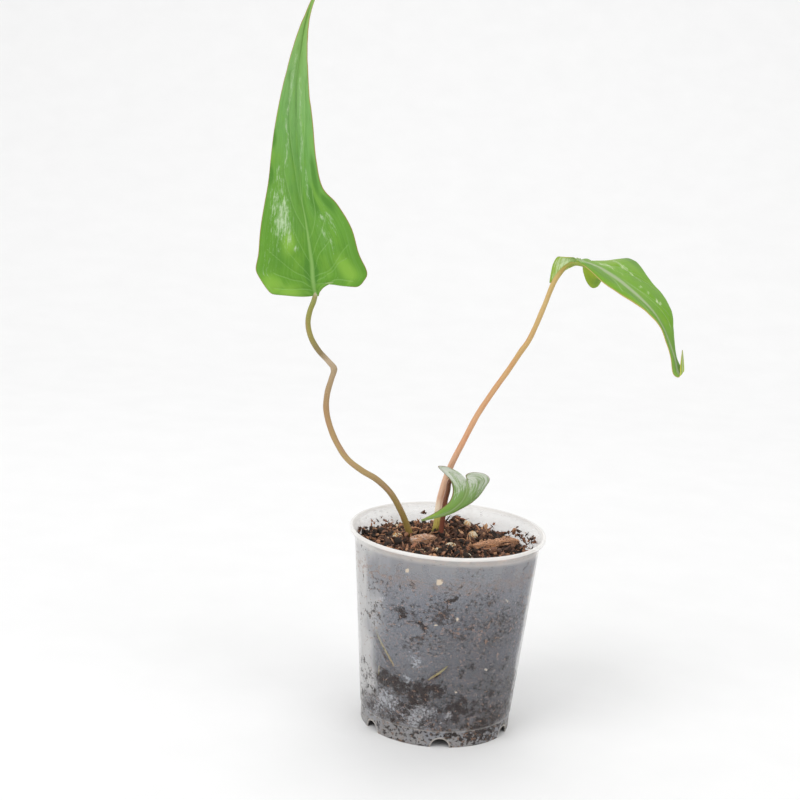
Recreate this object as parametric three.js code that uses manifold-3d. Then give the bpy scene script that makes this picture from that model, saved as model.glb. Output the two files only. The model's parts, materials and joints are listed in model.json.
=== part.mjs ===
// A potted young philodendron: a clear nursery pot, its bark mix, a buried stem with roots, three leaves
// on their stalks, and the pumice grains and bark pieces that lie on the mix.
// Millimetres, +Z up. The origin is the middle of the pot's base, and the plant is seen along +Y.

import * as THREE from "three";
import { mergeVertices } from "three/addons/utils/BufferGeometryUtils.js";
import Module from "manifold-3d";

const wasm = await Module();
wasm.setup();

// Driving dimensions
const GAP = 0.3; // clearance between pieces that touch
const MIX_GAP = 0.35; // clearance between the mix and the pot's flat facets
const FACETS = 40; // sides of the round pot and of the mix inside it

const POT_HEIGHT = 108;
const RIM_RADIUS = 52.5;
const BASE_RADIUS = 40.3;
const NECK_RADIUS = 49.4; // outside, just under the flared lip
const NECK_HEIGHT = 101.8;
const WALL = 0.9;
const SHOULDER_HEIGHT = 9; // the small stacking step above the foot
const SHOULDER_STEP = 0.4;
const FLOOR = 1;
const FLOOR_FLAT_RADIUS = 27; // the middle of the floor rests on the ground
const CHANNEL_HEIGHT = 6; // the raised ring of the floor, which water leaves from
const CHANNEL_INNER_RADIUS = 30.4;
const OUTLETS = 6;
const OUTLET_RADIUS = 5; // half-round notches in the foot
const OUTLET_FACETS = 20;
const DRAIN_RADIUS = 3; // round holes in the raised ring
const DRAIN_FACETS = 12;
const CUT_LENGTH = 10; // of the cutters, more than the walls that they go through
const FIRST_OUTLET = -84.5; // degrees, so that one notch faces the front
const LIP_STEPS = [
  // radius less the rim radius, height less the pot height: outside, over the top, then inside
  [-2.3, -4.8],
  [-0.8, -3],
  [0, -1.6],
  [-0.1, -0.5],
  [-0.6, 0],
  [-1.4, -0.1],
  [-1.9, -0.9],
  [-2.7, -2.6],
  [-3.6, -4.6],
];

const MIX_LEVEL = 97;
const MIX_TILT = [-0.012, -0.03]; // fall per mm towards +X and +Y
const MIX_MOUNDS = [
  // x, y, height, spread
  [5, 14, 10.5, 12.5],
  [-20, 6, 3.8, 18],
  [29, 9, 4.4, 13],
  [2, -16, 3, 22],
];
const MIX_RINGS = 13;
const CRUMB_RELIEF = 0.8;
const RELIEF_WAVES = [
  // strength, then two waves that cross: radians per mm along X and Y, and a shift
  [1, [1.7, 0.6, 1], [0.5, -1.9, 2]],
  [0.6, [2.9, -1.3, 0], [1.1, 2.3, 0]],
];
const CRUMBS = 32;
const CRUMB_RADIUS = [1.5, 2.9];
const CRUMB_PROPORTIONS = [1, 0.8, 0.7];
const CRUMB_FIELD = 44; // radius of the area that they lie in
const CRUMB_SEED = 7;

const PUMICE = [
  // x, y, radius of each pale grain that lies on the mix
  [-26.4, -0.5, 2.3],
  [10.2, 13.5, 2],
  [13.6, 5.5, 2.2],
  [2.2, -9.6, 2.1],
  [24.5, -7.5, 1.9],
  [-4.4, -18, 1.5],
  [11.3, -22.2, 1.5],
];
const PUMICE_PROPORTIONS = [1.1, 0.9, 0.8];
const PUMICE_SHOWING = 0.35; // height of a grain's centre above the mix, as a share of its radius

const BARK_STICK = {
  points: [[14.3, -6.5], [20, -3], [26.5, 0.5], [33, 5], [38, 9.5]],
  lift: [0.9, 1.4, 1.2, 1.5, 1.8],
  radii: [1.1, 2, 2.2, 2.1, 1.3],
  flatness: 0.75,
};
const BARK_CHIP = {
  points: [[-18.6, -9.5], [-15, -7.5], [-11, -5.5], [-6.8, -3.2]],
  lift: [0.9, 1.1, 1.1, 0.9],
  radii: [1.6, 3, 3.1, 1.6],
  flatness: 0.5,
};

const STEM = {
  // the creeping stem under the mix, turning up into the short shoot
  points: [
    [-25, 3, 90],
    [-17.5, 4.5, 88.5],
    [-11, 6.5, 89],
    [-7.5, 8, 93.5],
    [-7, 8, 101.5],
    [-6.2, 8.5, 108.5],
    [-6, 8.5, 115],
  ],
  radii: [2.6, 4, 4, 3, 2.1, 1.95, 1.9],
};
const ROOTS = [
  // the first three lie against the wall for a stretch
  [[-21, 2, 88], [-30, -9, 75], [-34, -21, 64.5], [-33.4, -26.2, 57],
    [-29.6, -30, 50.5], [-24.5, -33.5, 43.5], [-18, -33, 34]],
  [[-14, 4, 87], [-10, -10, 72], [0, -27, 58], [5.5, -38, 49],
    [3.4, -41.2, 44.4], [-3.7, -40.6, 38.1], [-12, -33, 28]],
  [[-16, 5, 87], [-25, -4, 70], [-28.5, -18, 48], [-30.9, -26.4, 36], [-29, -20, 25], [-20, -18, 15]],
  [[-9, 7, 89], [6, 1, 72], [22, -13, 56], [32, -18, 39], [29, -19, 22]],
  [[-9, 9, 89], [6, 20, 74], [18, 29, 56], [14, 33, 35], [4, 29, 18]],
  [[-18, 6, 88], [-24, 21, 72], [-30, 23, 52], [-23, 30, 35], [-14, 27, 20]],
  [[-13, 6, 87], [-10, 10, 66], [-4, 8, 44], [-10, 2, 25], [-17, -8, 14]],
];
const ROOT_RADII = [1.3, 0.7];

// The leaf stalks, from the buried stem up to the blades
const PETIOLES = {
  left: {
    points: [
      [-17.5, 4.5, 90.5],
      [-18.5, 3, 97],
      [-20, 0.5, 102.5],
      [-22.5, -3, 110],
      [-26.5, -7, 119.5],
      [-32, -10, 128.5],
      [-39.5, -12, 135.5],
      [-47.5, -13, 140],
      [-55, -13.5, 145.5],
      [-61, -13.5, 153.5],
      [-65.5, -12.5, 162.5],
      [-68, -10.5, 171],
      [-68, -8.5, 179],
      [-66.5, -6.5, 186],
      [-65.5, -5.5, 191.5],
      [-68.5, -6.5, 195.5],
      [-74, -8.5, 201.5],
      [-78, -9.5, 208],
      [-80, -9, 215],
      [-79.5, -7.5, 221.5],
      [-77.8, -6.5, 227],
      [-77.2, -6.1, 228.7],
    ],
    radii: [1.8, 1.6, 1.5, 1.35],
  },
  right: {
    points: [
      [-6, 8.5, 115.4],
      [-6, 8.5, 120],
      [-5.5, 8, 125],
      [-4.5, 7.5, 130.5],
      [-3, 7, 136.5],
      [-0.5, 6, 143.5],
      [4.5, 5, 154.5],
      [11, 4, 170],
      [18.5, 3, 184],
      [25.5, 2, 196],
      [31, 1.5, 206],
      [35, 1, 213],
      [38.5, 0.5, 222.5],
      [42, 0, 233.5],
      [45, -0.5, 243.5],
      [48.3, -1, 250],
      [51.3, -1.5, 253.5],
      [54.2, -2, 254.6],
      [57.1, -3, 255],
    ],
    radii: [1.85, 1.7, 1.45, 1.3],
  },
  small: {
    points: [
      [-6, 6.5, 91],
      [-4.5, 4, 96.5],
      [-3.5, 2.5, 102],
      [-3.5, 2, 108],
      [-3, 0.5, 115.5],
      [-2.5, -1.5, 123.5],
      [-1.5, -3.5, 129.5],
      [-1, -5, 135],
      [1, -6, 137.5],
      [3.5, -7, 138],
      [5.5, -8.5, 138],
      [7.4, -10.3, 137.5],
    ],
    radii: [1.3, 1.2, 1.1, 0.95],
  },
};

// Each blade has a midrib and rays from it to both margins, from the sinus at its foot to the tip.
// A ray is: its place along the midrib, counted in midrib points; its ends on the left and the right
// margin, seen from the upper side with the tip up; and how far it arches up on the left and the right.
const BLADES = {
  left: {
    midrib: [
      [-77, -6, 230],
      [-78.5, -8, 239],
      [-80, -9, 248.5],
      [-82, -9.5, 258],
      [-84, -9.5, 267.5],
      [-86.5, -9, 277.5],
      [-88, -8, 288],
      [-90, -6.5, 299.5],
      [-91, -5, 311],
      [-92, -3, 322.5],
      [-93, -0.5, 334.5],
      [-92.5, 2.5, 346.5],
      [-92, 6, 358.5],
      [-90.5, 9.5, 370.5],
      [-87, 13.5, 382.5],
    ],
    rays: [
      [0, [-78.5, -6.5, 229.5], [-75.5, -6.5, 229.5], 0, 0],
      [0.15, [-83.5, -8.5, 229], [-74.5, -8, 232.5], 0.3, 0.3],
      [0.35, [-91, -10.5, 229], [-71.5, -10.5, 236], 0.8, 0.6],
      [0.6, [-98.5, -12, 229.5], [-65.5, -12.5, 237.5], 1.2, 1],
      [0.9, [-102, -12.5, 232.5], [-59.5, -13, 237], 1.4, 1.5],
      [1.15, [-106, -13, 238], [-55, -12, 237.5], 1.6, 2.2],
      [1.4, [-108, -13, 242.5], [-52.5, -11, 239.5], 1.8, 2.8],
      [1.75, [-107, -13.5, 250.5], [-51, -10.5, 244.5], 2, 3],
      [2.3, [-106.5, -14, 262.5], [-55.5, -13, 254], 2, 2.8],
      [3, [-105, -14, 276], [-60, -14.5, 267], 2, 2.2],
      [3.8, [-103.5, -13.5, 289.5], [-68, -13.5, 278.5], 1.8, 1.6],
      [5, [-103, -12, 302], [-76, -13, 286.5], 1.6, 1.2],
      [6.3, [-102, -10, 316.5], [-80, -11.5, 300], 1.4, 0.9],
      [7.8, [-100, -7, 332], [-83.5, -8.5, 320], 1.1, 0.7],
      [9.5, [-97.5, -2.5, 348], [-87.5, -3, 342], 0.8, 0.5],
      [11.4, [-93.5, 4, 362.5], [-90, 4.5, 361], 0.4, 0.3],
      [12.9, [-90, 9, 373.5], [-89.5, 9, 372.5], 0.1, 0.1],
      [14, [-87.6, 13.5, 382.5], [-86.4, 13.5, 382.5], 0, 0],
    ],
    veins: [3, 6, 8, 9.5, 11, 12.5],
    ridge: [1.2, 0.1],
  },
  right: {
    midrib: [
      [57.5, -3, 256.5],
      [63.5, -8.5, 256],
      [69.5, -14.5, 253.5],
      [76, -20.5, 250.5],
      [82, -27, 247],
      [88, -33.5, 242.5],
      [93.5, -39.5, 237.5],
      [98, -44.5, 231.5],
      [101.5, -48.5, 225],
      [104.5, -51.5, 218.5],
      [106.5, -53.5, 211.5],
      [108.5, -54, 210.5],
      [108.5, -53.5, 216.5],
      [108, -52.5, 222.5],
    ],
    rays: [
      [0, [58, -2, 257], [56.5, -4, 256.5], 0, 0],
      [0.1, [59.5, 4, 254], [53.5, -5.5, 258.5], 1, 0.2],
      [0.2, [61, 9, 248.5], [49, -5, 258.5], 2.6, 0.3],
      [0.3, [63, 11.5, 244], [46, -4.5, 258], 3.7, 0.4],
      [0.4, [66, 13.5, 241], [44, -5, 254.5], 4, 0.5],
      [0.5, [69, 16, 241.5], [43.5, -5.5, 250.5], 4.2, 0.6],
      [0.6, [71.5, 18.5, 245], [43, -6.5, 245], 3.8, 0.8],
      [0.72, [73.5, 19, 250], [45.5, -8, 249.5], 3, 1],
      [0.9, [76, 17, 255], [48, -9, 253.5], 2, 1.1],
      [1.2, [79.5, 13, 258], [51.5, -10.5, 256.5], 1.3, 1.2],
      [1.6, [83, 6.5, 259.5], [56.5, -12.5, 257], 1.2, 1.1],
      [2.3, [88, -0.5, 256.5], [62.5, -16.5, 253.5], 1.5, 1],
      [3.1, [93, -8.5, 251], [68.5, -24, 249.5], 1.5, 1],
      [4.1, [97.5, -15.5, 246.5], [76.5, -32, 245.5], 1.4, 0.9],
      [5.1, [101.5, -23, 242], [83.5, -39, 242.5], 1.3, 0.8],
      [6, [103.5, -31, 237.5], [90.5, -45, 239], 1.1, 0.6],
      [7, [104.5, -38.5, 231], [96, -49, 233.5], 0.8, 0.4],
      [8, [105, -44.5, 224.5], [100, -52, 225.5], 0.5, 0.2],
      [9, [106, -49, 218.5], [102.5, -53.5, 219], 0.2, 0.1],
      [10, [108, -52, 213], [104.5, -55, 211.5], 0, 0],
      [11, [109.5, -53, 211], [107.5, -55.5, 209.5], 0, 0],
      [12, [109.5, -52.5, 216.5], [107.5, -54.5, 216.5], 0, 0],
      [13, [108.4, -52, 222.5], [107.6, -53, 222.5], 0, 0],
    ],
    veins: [6, 9, 11, 12.5, 14],
    ridge: [1.1, 0.1],
  },
  small: {
    midrib: [
      [8.25, -12, 138.25],
      [8.5, -14, 135.75],
      [8, -15.75, 132.25],
      [6.5, -17.25, 128.75],
      [3.5, -19, 125.5],
      [-0.5, -20.25, 122.75],
      [-6, -21.25, 120.25],
      [-14.25, -22, 117.75],
    ],
    rays: [
      [0, [9, -11.5, 138.75], [7.25, -11.5, 138.75], 0, 0],
      [0.12, [7.25, -9.5, 140.25], [6, -10.5, 139.75], 0.2, 0.2],
      [0.25, [8.75, -7, 141], [1.75, -9, 142.5], 0.5, 0.5],
      [0.4, [12.5, -4.5, 141], [-3, -5.5, 143.5], 0.8, 0.9],
      [0.65, [17.5, -3, 139.75], [-7.5, -2, 142.25], 1, 1.2],
      [1.1, [19.75, -3.75, 137], [-4, -6.5, 139.75], 1.1, 1],
      [1.9, [16.25, -9.25, 131.75], [-0.5, -10.5, 137.25], 1, 0.8],
      [2.8, [12, -13.75, 128], [1, -14.25, 132.75], 0.8, 0.6],
      [3.8, [6.75, -17.25, 124.75], [-0.25, -17.5, 128], 0.5, 0.4],
      [4.9, [0.75, -20, 121.75], [-4, -19.5, 124.5], 0.3, 0.2],
      [6, [-6.25, -21.5, 119.5], [-9, -20.75, 121], 0.1, 0.1],
      [7, [-14, -22, 117.25], [-14.25, -22, 118.25], 0, 0],
    ],
    veins: [3, 5, 6, 7],
    ridge: [0.5, 0.1],
  },
};
const BLADE_THICKNESS = 0.7;
const VEIN_DEPTH = 0.35;
const LOBE_RAYS = 7; // rays that fan out into the basal lobes
const LOBE_BOW = 0.16; // a lobe's rays bow towards the tip by this share of their length
const BLADE_BOW = -0.14; // and the blade's rays bow back by this share, as its veins do
const HALF_ROWS = 5;
const ROW_CROWDING = 1.5; // rows stand closer at the midrib
const COLUMNS_PER_RAY = 2;

const SURFACES = {
  // colour, roughness
  petiole_left: [0x8a8442, 0.45],
  petiole_right: [0xc49a6c, 0.45],
  petiole_small: [0x7c4638, 0.45],
  blade_left: [0x5f9a3c, 0.4],
  blade_right: [0x6aa83a, 0.4],
  blade_small: [0x7fa17a, 0.4],
  bark: [0x8a5638, 0.9],
  pumice: [0xe6dcc4, 0.95],
  roots: [0xb9b46a, 0.55],
  mix: [0x35261e, 1],
  pot: [0xdfe4e8, 0.35],
};
const POT_OPACITY = 0.45;

// Small tools
const MERGE_DISTANCE = 1e-4;
const NEARLY_UPRIGHT = 0.9; // the upward part of a direction, past which it counts as upright
const RANDOM_MULTIPLIER = 16807;
const RANDOM_MODULUS = 2 ** 31 - 1;
const vector = (p) => new THREE.Vector3(...p);
const smooth = (points) => new THREE.CatmullRomCurve3(points.map(vector), false, "catmullrom", 0.5);
const radians = THREE.MathUtils.degToRad;
const lerp = THREE.MathUtils.lerp;

// A value between the evenly spread values of a list, t from 0 to 1.
function along(values, t) {
  const place = t * (values.length - 1);
  const i = Math.min(Math.floor(place), values.length - 2);
  return lerp(values[i], values[i + 1], place - i);
}

// Random numbers from 0 to 1 that are the same on each run.
function randomFrom(seed) {
  let state = seed;
  return () => {
    state = (state * RANDOM_MULTIPLIER) % RANDOM_MODULUS;
    return state / RANDOM_MODULUS;
  };
}

function indexedGeometry(points, triangles) {
  const geometry = new THREE.BufferGeometry();
  const positions = new Float32Array(points.flatMap((p) => [p.x, p.y, p.z]));
  geometry.setAttribute("position", new THREE.BufferAttribute(positions, 3));
  geometry.setIndex(triangles);
  return geometry;
}

function solidOf(geometry) {
  const bare = geometry.clone();
  bare.deleteAttribute("normal");
  bare.deleteAttribute("uv");
  const merged = mergeVertices(bare, MERGE_DISTANCE);
  return new wasm.Manifold(
    new wasm.Mesh({
      numProp: 3,
      vertProperties: merged.attributes.position.array,
      triVerts: new Uint32Array(merged.index.array),
    }),
  );
}

function geometryOf(solid) {
  const { vertProperties, triVerts } = solid.getMesh();
  const geometry = new THREE.BufferGeometry();
  geometry.setAttribute("position", new THREE.BufferAttribute(vertProperties, 3));
  geometry.setIndex(new THREE.BufferAttribute(triVerts, 1));
  geometry.computeVertexNormals();
  return geometry;
}

// Cutting can leave loose scraps, which are dropped.
function largestBody(solid) {
  return solid.decompose().reduce((a, b) => (b.volume() > a.volume() ? b : a));
}

// Rings of points joined in order and closed by a point at each end, turning left about the way along.
function ringedGeometry(rings, firstPoint, lastPoint) {
  const sides = rings[0].length;
  const points = [...rings.flat(), firstPoint, lastPoint];
  const first = points.length - 2;
  const last = points.length - 1;
  const triangles = [];
  for (let k = 0; k < sides; k++) {
    const next = (k + 1) % sides;
    triangles.push(first, next, k);
    for (let i = 0; i + 1 < rings.length; i++) {
      const low = i * sides;
      const high = low + sides;
      triangles.push(low + k, low + next, high + next, low + k, high + next, high + k);
    }
    const top = (rings.length - 1) * sides;
    triangles.push(last, top + k, top + next);
  }
  return indexedGeometry(points, triangles);
}

// A tapering stalk along a smooth curve. It is flattened where the flatness is under 1.
function stalkGeometry(points, radii, { sides = 8, stepsPerSpan = 2, flatness = 1, extra = 0 } = {}) {
  const curve = smooth(points);
  const steps = (points.length - 1) * stepsPerSpan;
  const across = new THREE.Vector3(0, 0, 1);
  if (Math.abs(curve.getTangent(0).z) > NEARLY_UPRIGHT) across.set(1, 0, 0);
  const rings = [];
  for (let i = 0; i <= steps; i++) {
    const t = i / steps;
    const centre = curve.getPoint(t);
    const ahead = curve.getTangent(t);
    across.addScaledVector(ahead, -across.dot(ahead)).normalize();
    const beside = new THREE.Vector3().crossVectors(ahead, across);
    const radius = along(radii, t) + extra;
    const ring = [];
    for (let k = 0; k < sides; k++) {
      const angle = (k / sides) * 2 * Math.PI;
      const point = centre.clone();
      point.addScaledVector(across, radius * flatness * Math.cos(angle));
      point.addScaledVector(beside, radius * Math.sin(angle));
      ring.push(point);
    }
    rings.push(ring);
  }
  const pushOut = curve.getTangent(1).multiplyScalar(extra);
  const pushIn = curve.getTangent(0).multiplyScalar(-extra);
  rings[0].forEach((p) => p.add(pushIn));
  rings[rings.length - 1].forEach((p) => p.add(pushOut));
  return ringedGeometry(rings, curve.getPoint(0).add(pushIn), curve.getPoint(1).add(pushOut));
}

// The pot
function potProfile() {
  const inside = NECK_RADIUS - WALL;
  const channelRadius = BASE_RADIUS - WALL;
  return [
    [0, 0],
    [FLOOR_FLAT_RADIUS, 0],
    [CHANNEL_INNER_RADIUS, CHANNEL_HEIGHT],
    [channelRadius, CHANNEL_HEIGHT],
    [channelRadius, 0],
    [BASE_RADIUS, 0],
    [BASE_RADIUS + SHOULDER_STEP, SHOULDER_HEIGHT],
    [BASE_RADIUS + 2 * SHOULDER_STEP, SHOULDER_HEIGHT + SHOULDER_STEP],
    [NECK_RADIUS, NECK_HEIGHT],
    ...LIP_STEPS.map(([r, z]) => [RIM_RADIUS + r, POT_HEIGHT + z]),
    [inside, NECK_HEIGHT],
    [innerRadius(SHOULDER_HEIGHT), SHOULDER_HEIGHT],
    [innerRadius(SHOULDER_HEIGHT) - SHOULDER_STEP, CHANNEL_HEIGHT + FLOOR],
    [CHANNEL_INNER_RADIUS - FLOOR / 2, CHANNEL_HEIGHT + FLOOR],
    [FLOOR_FLAT_RADIUS - FLOOR, FLOOR],
    [0, FLOOR],
  ].map(([r, z]) => new THREE.Vector2(r, z));
}

// The inside radius of the wall at a height above the shoulder.
function innerRadius(z) {
  const share = (z - SHOULDER_HEIGHT) / (NECK_HEIGHT - SHOULDER_HEIGHT);
  return lerp(BASE_RADIUS + SHOULDER_STEP, NECK_RADIUS, share) - WALL;
}

function upright(geometry) {
  return geometry.rotateX(Math.PI / 2);
}

const cutter = (radius, facets) => new THREE.CylinderGeometry(radius, radius, CUT_LENGTH, facets);

function makePot() {
  let pot = solidOf(upright(new THREE.LatheGeometry(potProfile(), FACETS)));
  for (let i = 0; i < OUTLETS; i++) {
    const angle = radians(FIRST_OUTLET) + (i / OUTLETS) * 2 * Math.PI;
    const notch = cutter(OUTLET_RADIUS, OUTLET_FACETS).rotateZ(Math.PI / 2);
    notch.translate(BASE_RADIUS, 0, 0).rotateZ(angle);
    const drain = upright(cutter(DRAIN_RADIUS, DRAIN_FACETS));
    drain.translate((CHANNEL_INNER_RADIUS + BASE_RADIUS) / 2, 0, CHANNEL_HEIGHT).rotateZ(angle);
    pot = pot.subtract(solidOf(notch)).subtract(solidOf(drain));
  }
  return pot;
}

// The bark mix: filled to below the rim, heaped round the stems, with a crumbly top
function mixHeight(x, y) {
  const level = MIX_LEVEL + MIX_TILT[0] * x + MIX_TILT[1] * y;
  return MIX_MOUNDS.reduce((z, [cx, cy, height, spread]) => {
    const away = ((x - cx) ** 2 + (y - cy) ** 2) / spread ** 2;
    return z + height * Math.exp(-away);
  }, level);
}

function crumbRelief(x, y) {
  const wave = ([alongX, alongY, shift]) => Math.sin(alongX * x + alongY * y + shift);
  const add = (sum, [strength, one, other]) => sum + strength * wave(one) * wave(other);
  return CRUMB_RELIEF * RELIEF_WAVES.reduce(add, 0);
}

// One ring of points at the pot's own facets, with its radius and height found from the angle.
function facetRing(radiusAt, heightAt) {
  return Array.from({ length: FACETS }, (unused, k) => {
    const angle = (k / FACETS) * 2 * Math.PI;
    const radius = radiusAt(angle);
    const x = radius * Math.cos(angle);
    const y = radius * Math.sin(angle);
    return new THREE.Vector3(x, y, heightAt(x, y));
  });
}

function mixBody() {
  const flatRing = (radius, z) => facetRing(() => radius, () => z);
  const raised = CHANNEL_HEIGHT + FLOOR + MIX_GAP;
  const edge = innerRadius(MIX_LEVEL) - MIX_GAP;
  const wallRadius = (angle) => {
    const z = mixHeight(edge * Math.cos(angle), edge * Math.sin(angle));
    return innerRadius(z) - MIX_GAP;
  };
  const rings = [
    flatRing(FLOOR_FLAT_RADIUS - FLOOR - MIX_GAP, FLOOR + MIX_GAP),
    flatRing(CHANNEL_INNER_RADIUS - FLOOR / 2 - MIX_GAP, raised),
    flatRing(innerRadius(SHOULDER_HEIGHT) - SHOULDER_STEP - MIX_GAP, raised),
    flatRing(innerRadius(SHOULDER_HEIGHT) - MIX_GAP, SHOULDER_HEIGHT + MIX_GAP),
    facetRing(wallRadius, mixHeight),
  ];
  for (let j = MIX_RINGS - 1; j > 0; j--) {
    const share = j / MIX_RINGS;
    rings.push(facetRing((a) => share * wallRadius(a), (x, y) => mixHeight(x, y) + crumbRelief(x, y)));
  }
  const bottom = new THREE.Vector3(0, 0, FLOOR + MIX_GAP);
  return solidOf(ringedGeometry(rings, bottom, new THREE.Vector3(0, 0, mixHeight(0, 0))));
}

function crumbs() {
  const random = randomFrom(CRUMB_SEED);
  return Array.from({ length: CRUMBS }, () => {
    const distance = CRUMB_FIELD * Math.sqrt(random());
    const angle = 2 * Math.PI * random();
    const radius = lerp(...CRUMB_RADIUS, random());
    const crumb = new THREE.IcosahedronGeometry(radius, 0);
    crumb.scale(...CRUMB_PROPORTIONS).rotateX(Math.PI * random()).rotateZ(2 * Math.PI * random());
    const x = distance * Math.cos(angle);
    const y = distance * Math.sin(angle);
    return solidOf(crumb.translate(x, y, mixHeight(x, y)));
  });
}

function pumiceGeometry([x, y, radius], index, extra) {
  const grain = new THREE.DodecahedronGeometry(radius + extra, 0);
  grain.scale(...PUMICE_PROPORTIONS).rotateX(index).rotateZ(2 * index);
  return grain.translate(x, y, mixHeight(x, y) + PUMICE_SHOWING * radius);
}

function barkGeometry(bark, extra) {
  const points = bark.points.map(([x, y], i) => [x, y, mixHeight(x, y) + bark.lift[i]]);
  return stalkGeometry(points, bark.radii, { sides: 6, flatness: bark.flatness, extra });
}

// The stem and its roots, or the space that they take up in the mix
function stemAndRoots(extra) {
  const roots = ROOTS.map((points) => stalkGeometry(points, ROOT_RADII, { sides: 6, extra }));
  const stem = solidOf(stalkGeometry(STEM.points, STEM.radii, { extra }));
  return roots.reduce((solid, root) => solid.add(solidOf(root)), stem);
}

// A blade's middle surface: a grid from the left margin over the midrib to the right margin.
function bladeSheet({ midrib, rays, veins }) {
  const midribCurve = smooth(midrib);
  const margins = [smooth(rays.map((ray) => ray[1])), smooth(rays.map((ray) => ray[2]))];
  const guide = smooth(rays.map(([place, , , left, right]) => [place, left, right]));
  const columns = (rays.length - 1) * COLUMNS_PER_RAY;
  const points = [];
  for (let i = 0; i <= columns; i++) {
    const t = i / columns;
    const ray = i / COLUMNS_PER_RAY;
    const [place, ...rises] = guide.getPoint(t).toArray();
    const share = THREE.MathUtils.clamp(place / (midrib.length - 1), 0, 1);
    const root = midribCurve.getPoint(share);
    const ahead = midribCurve.getTangent(share);
    const bow = lerp(LOBE_BOW, BLADE_BOW, Math.min(1, ray / LOBE_RAYS));
    const onVein = veins.some((vein) => Math.abs(vein - ray) < 0.5 / COLUMNS_PER_RAY);
    for (let row = -HALF_ROWS; row <= HALF_ROWS; row++) {
      const side = row < 0 ? 0 : 1;
      const v = (Math.abs(row) / HALF_ROWS) ** ROW_CROWDING;
      const end = margins[side].getPoint(t);
      const span = end.clone().sub(root);
      const up = new THREE.Vector3().crossVectors(ahead, span).normalize();
      if (side === 1) up.negate();
      const middle = root.clone().lerp(end, 0.5);
      middle.addScaledVector(up, 2 * rises[side]);
      middle.addScaledVector(ahead, bow * span.length());
      const point = new THREE.QuadraticBezierCurve3(root, middle, end).getPoint(v);
      const crease = onVein ? VEIN_DEPTH * Math.sin(Math.PI * v) : 0;
      points.push(point.addScaledVector(up, -crease));
    }
  }
  return { points, columns, rows: 2 * HALF_ROWS + 1 };
}

// The sheet is thickened to both sides of its own normals. The midrib stands out on the underside.
function bladeGeometry(blade) {
  const { points, columns, rows } = bladeSheet(blade);
  const triangles = [];
  for (let i = 0; i < columns; i++) {
    for (let j = 0; j + 1 < rows; j++) {
      const a = i * rows + j;
      triangles.push(a, a + 1, a + rows + 1, a, a + rows + 1, a + rows);
    }
  }
  const sheet = indexedGeometry(points, triangles);
  sheet.computeVertexNormals();
  const normals = points.map((p, i) => new THREE.Vector3().fromBufferAttribute(sheet.attributes.normal, i));
  const half = BLADE_THICKNESS / 2;
  const upper = points.map((p, i) => p.clone().addScaledVector(normals[i], half));
  const lower = points.map((p, i) => {
    const ridge = i % rows === HALF_ROWS ? along(blade.ridge, Math.floor(i / rows) / columns) : 0;
    return p.clone().addScaledVector(normals[i], -half - ridge);
  });
  const under = points.length;
  const all = [...triangles];
  for (let i = 0; i < triangles.length; i += 3) {
    all.push(under + triangles[i], under + triangles[i + 2], under + triangles[i + 1]);
  }
  const last = columns * rows;
  const rim = [];
  for (let j = 0; j < rows; j++) rim.push(j);
  for (let i = 1; i <= columns; i++) rim.push(i * rows + rows - 1);
  for (let j = rows - 2; j >= 0; j--) rim.push(last + j);
  for (let i = columns - 1; i > 0; i--) rim.push(i * rows);
  rim.forEach((a, k) => {
    const b = rim[(k + 1) % rim.length];
    all.push(a, under + a, under + b, a, under + b, b);
  });
  return indexedGeometry([...upper, ...lower], all);
}

// Assembly
const group = new THREE.Group();

function addPiece(name, geometry, surface = name) {
  const [color, roughness] = SURFACES[surface];
  const material = new THREE.MeshStandardMaterial({ color, roughness, metalness: 0 });
  const mesh = new THREE.Mesh(geometry, material);
  mesh.name = name;
  group.add(mesh);
  return mesh;
}

const stemRoom = stemAndRoots(GAP);
let mix = crumbs().reduce((solid, crumb) => solid.add(crumb), mixBody());
mix = mix.subtract(stemRoom);

for (const [name, { points, radii }] of Object.entries(PETIOLES)) {
  const stalk = largestBody(solidOf(stalkGeometry(points, radii)).subtract(stemRoom));
  mix = mix.subtract(solidOf(stalkGeometry(points, radii, { extra: GAP })));
  addPiece("petiole_" + name, geometryOf(stalk));
  addPiece("blade_" + name, bladeGeometry(BLADES[name]));
}

for (const [name, bark] of Object.entries({ bark_stick: BARK_STICK, bark_chip: BARK_CHIP })) {
  mix = mix.subtract(solidOf(barkGeometry(bark, GAP)));
  addPiece(name, barkGeometry(bark, 0), "bark");
}

PUMICE.forEach((grain, i) => {
  mix = mix.subtract(solidOf(pumiceGeometry(grain, i, GAP)));
  addPiece("pumice_" + (i + 1), pumiceGeometry(grain, i, 0), "pumice");
});

addPiece("stem_and_roots", geometryOf(stemAndRoots(0)), "roots");
addPiece("substrate", geometryOf(largestBody(mix)), "mix");
const { material: clearPlastic } = addPiece("pot", geometryOf(makePot()));
clearPlastic.transparent = true;
clearPlastic.opacity = POT_OPACITY;

export default group;
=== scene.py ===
import json
import math
from types import SimpleNamespace

import bmesh
import bpy
import numpy as np
from mathutils import Matrix, Vector, noise

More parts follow.
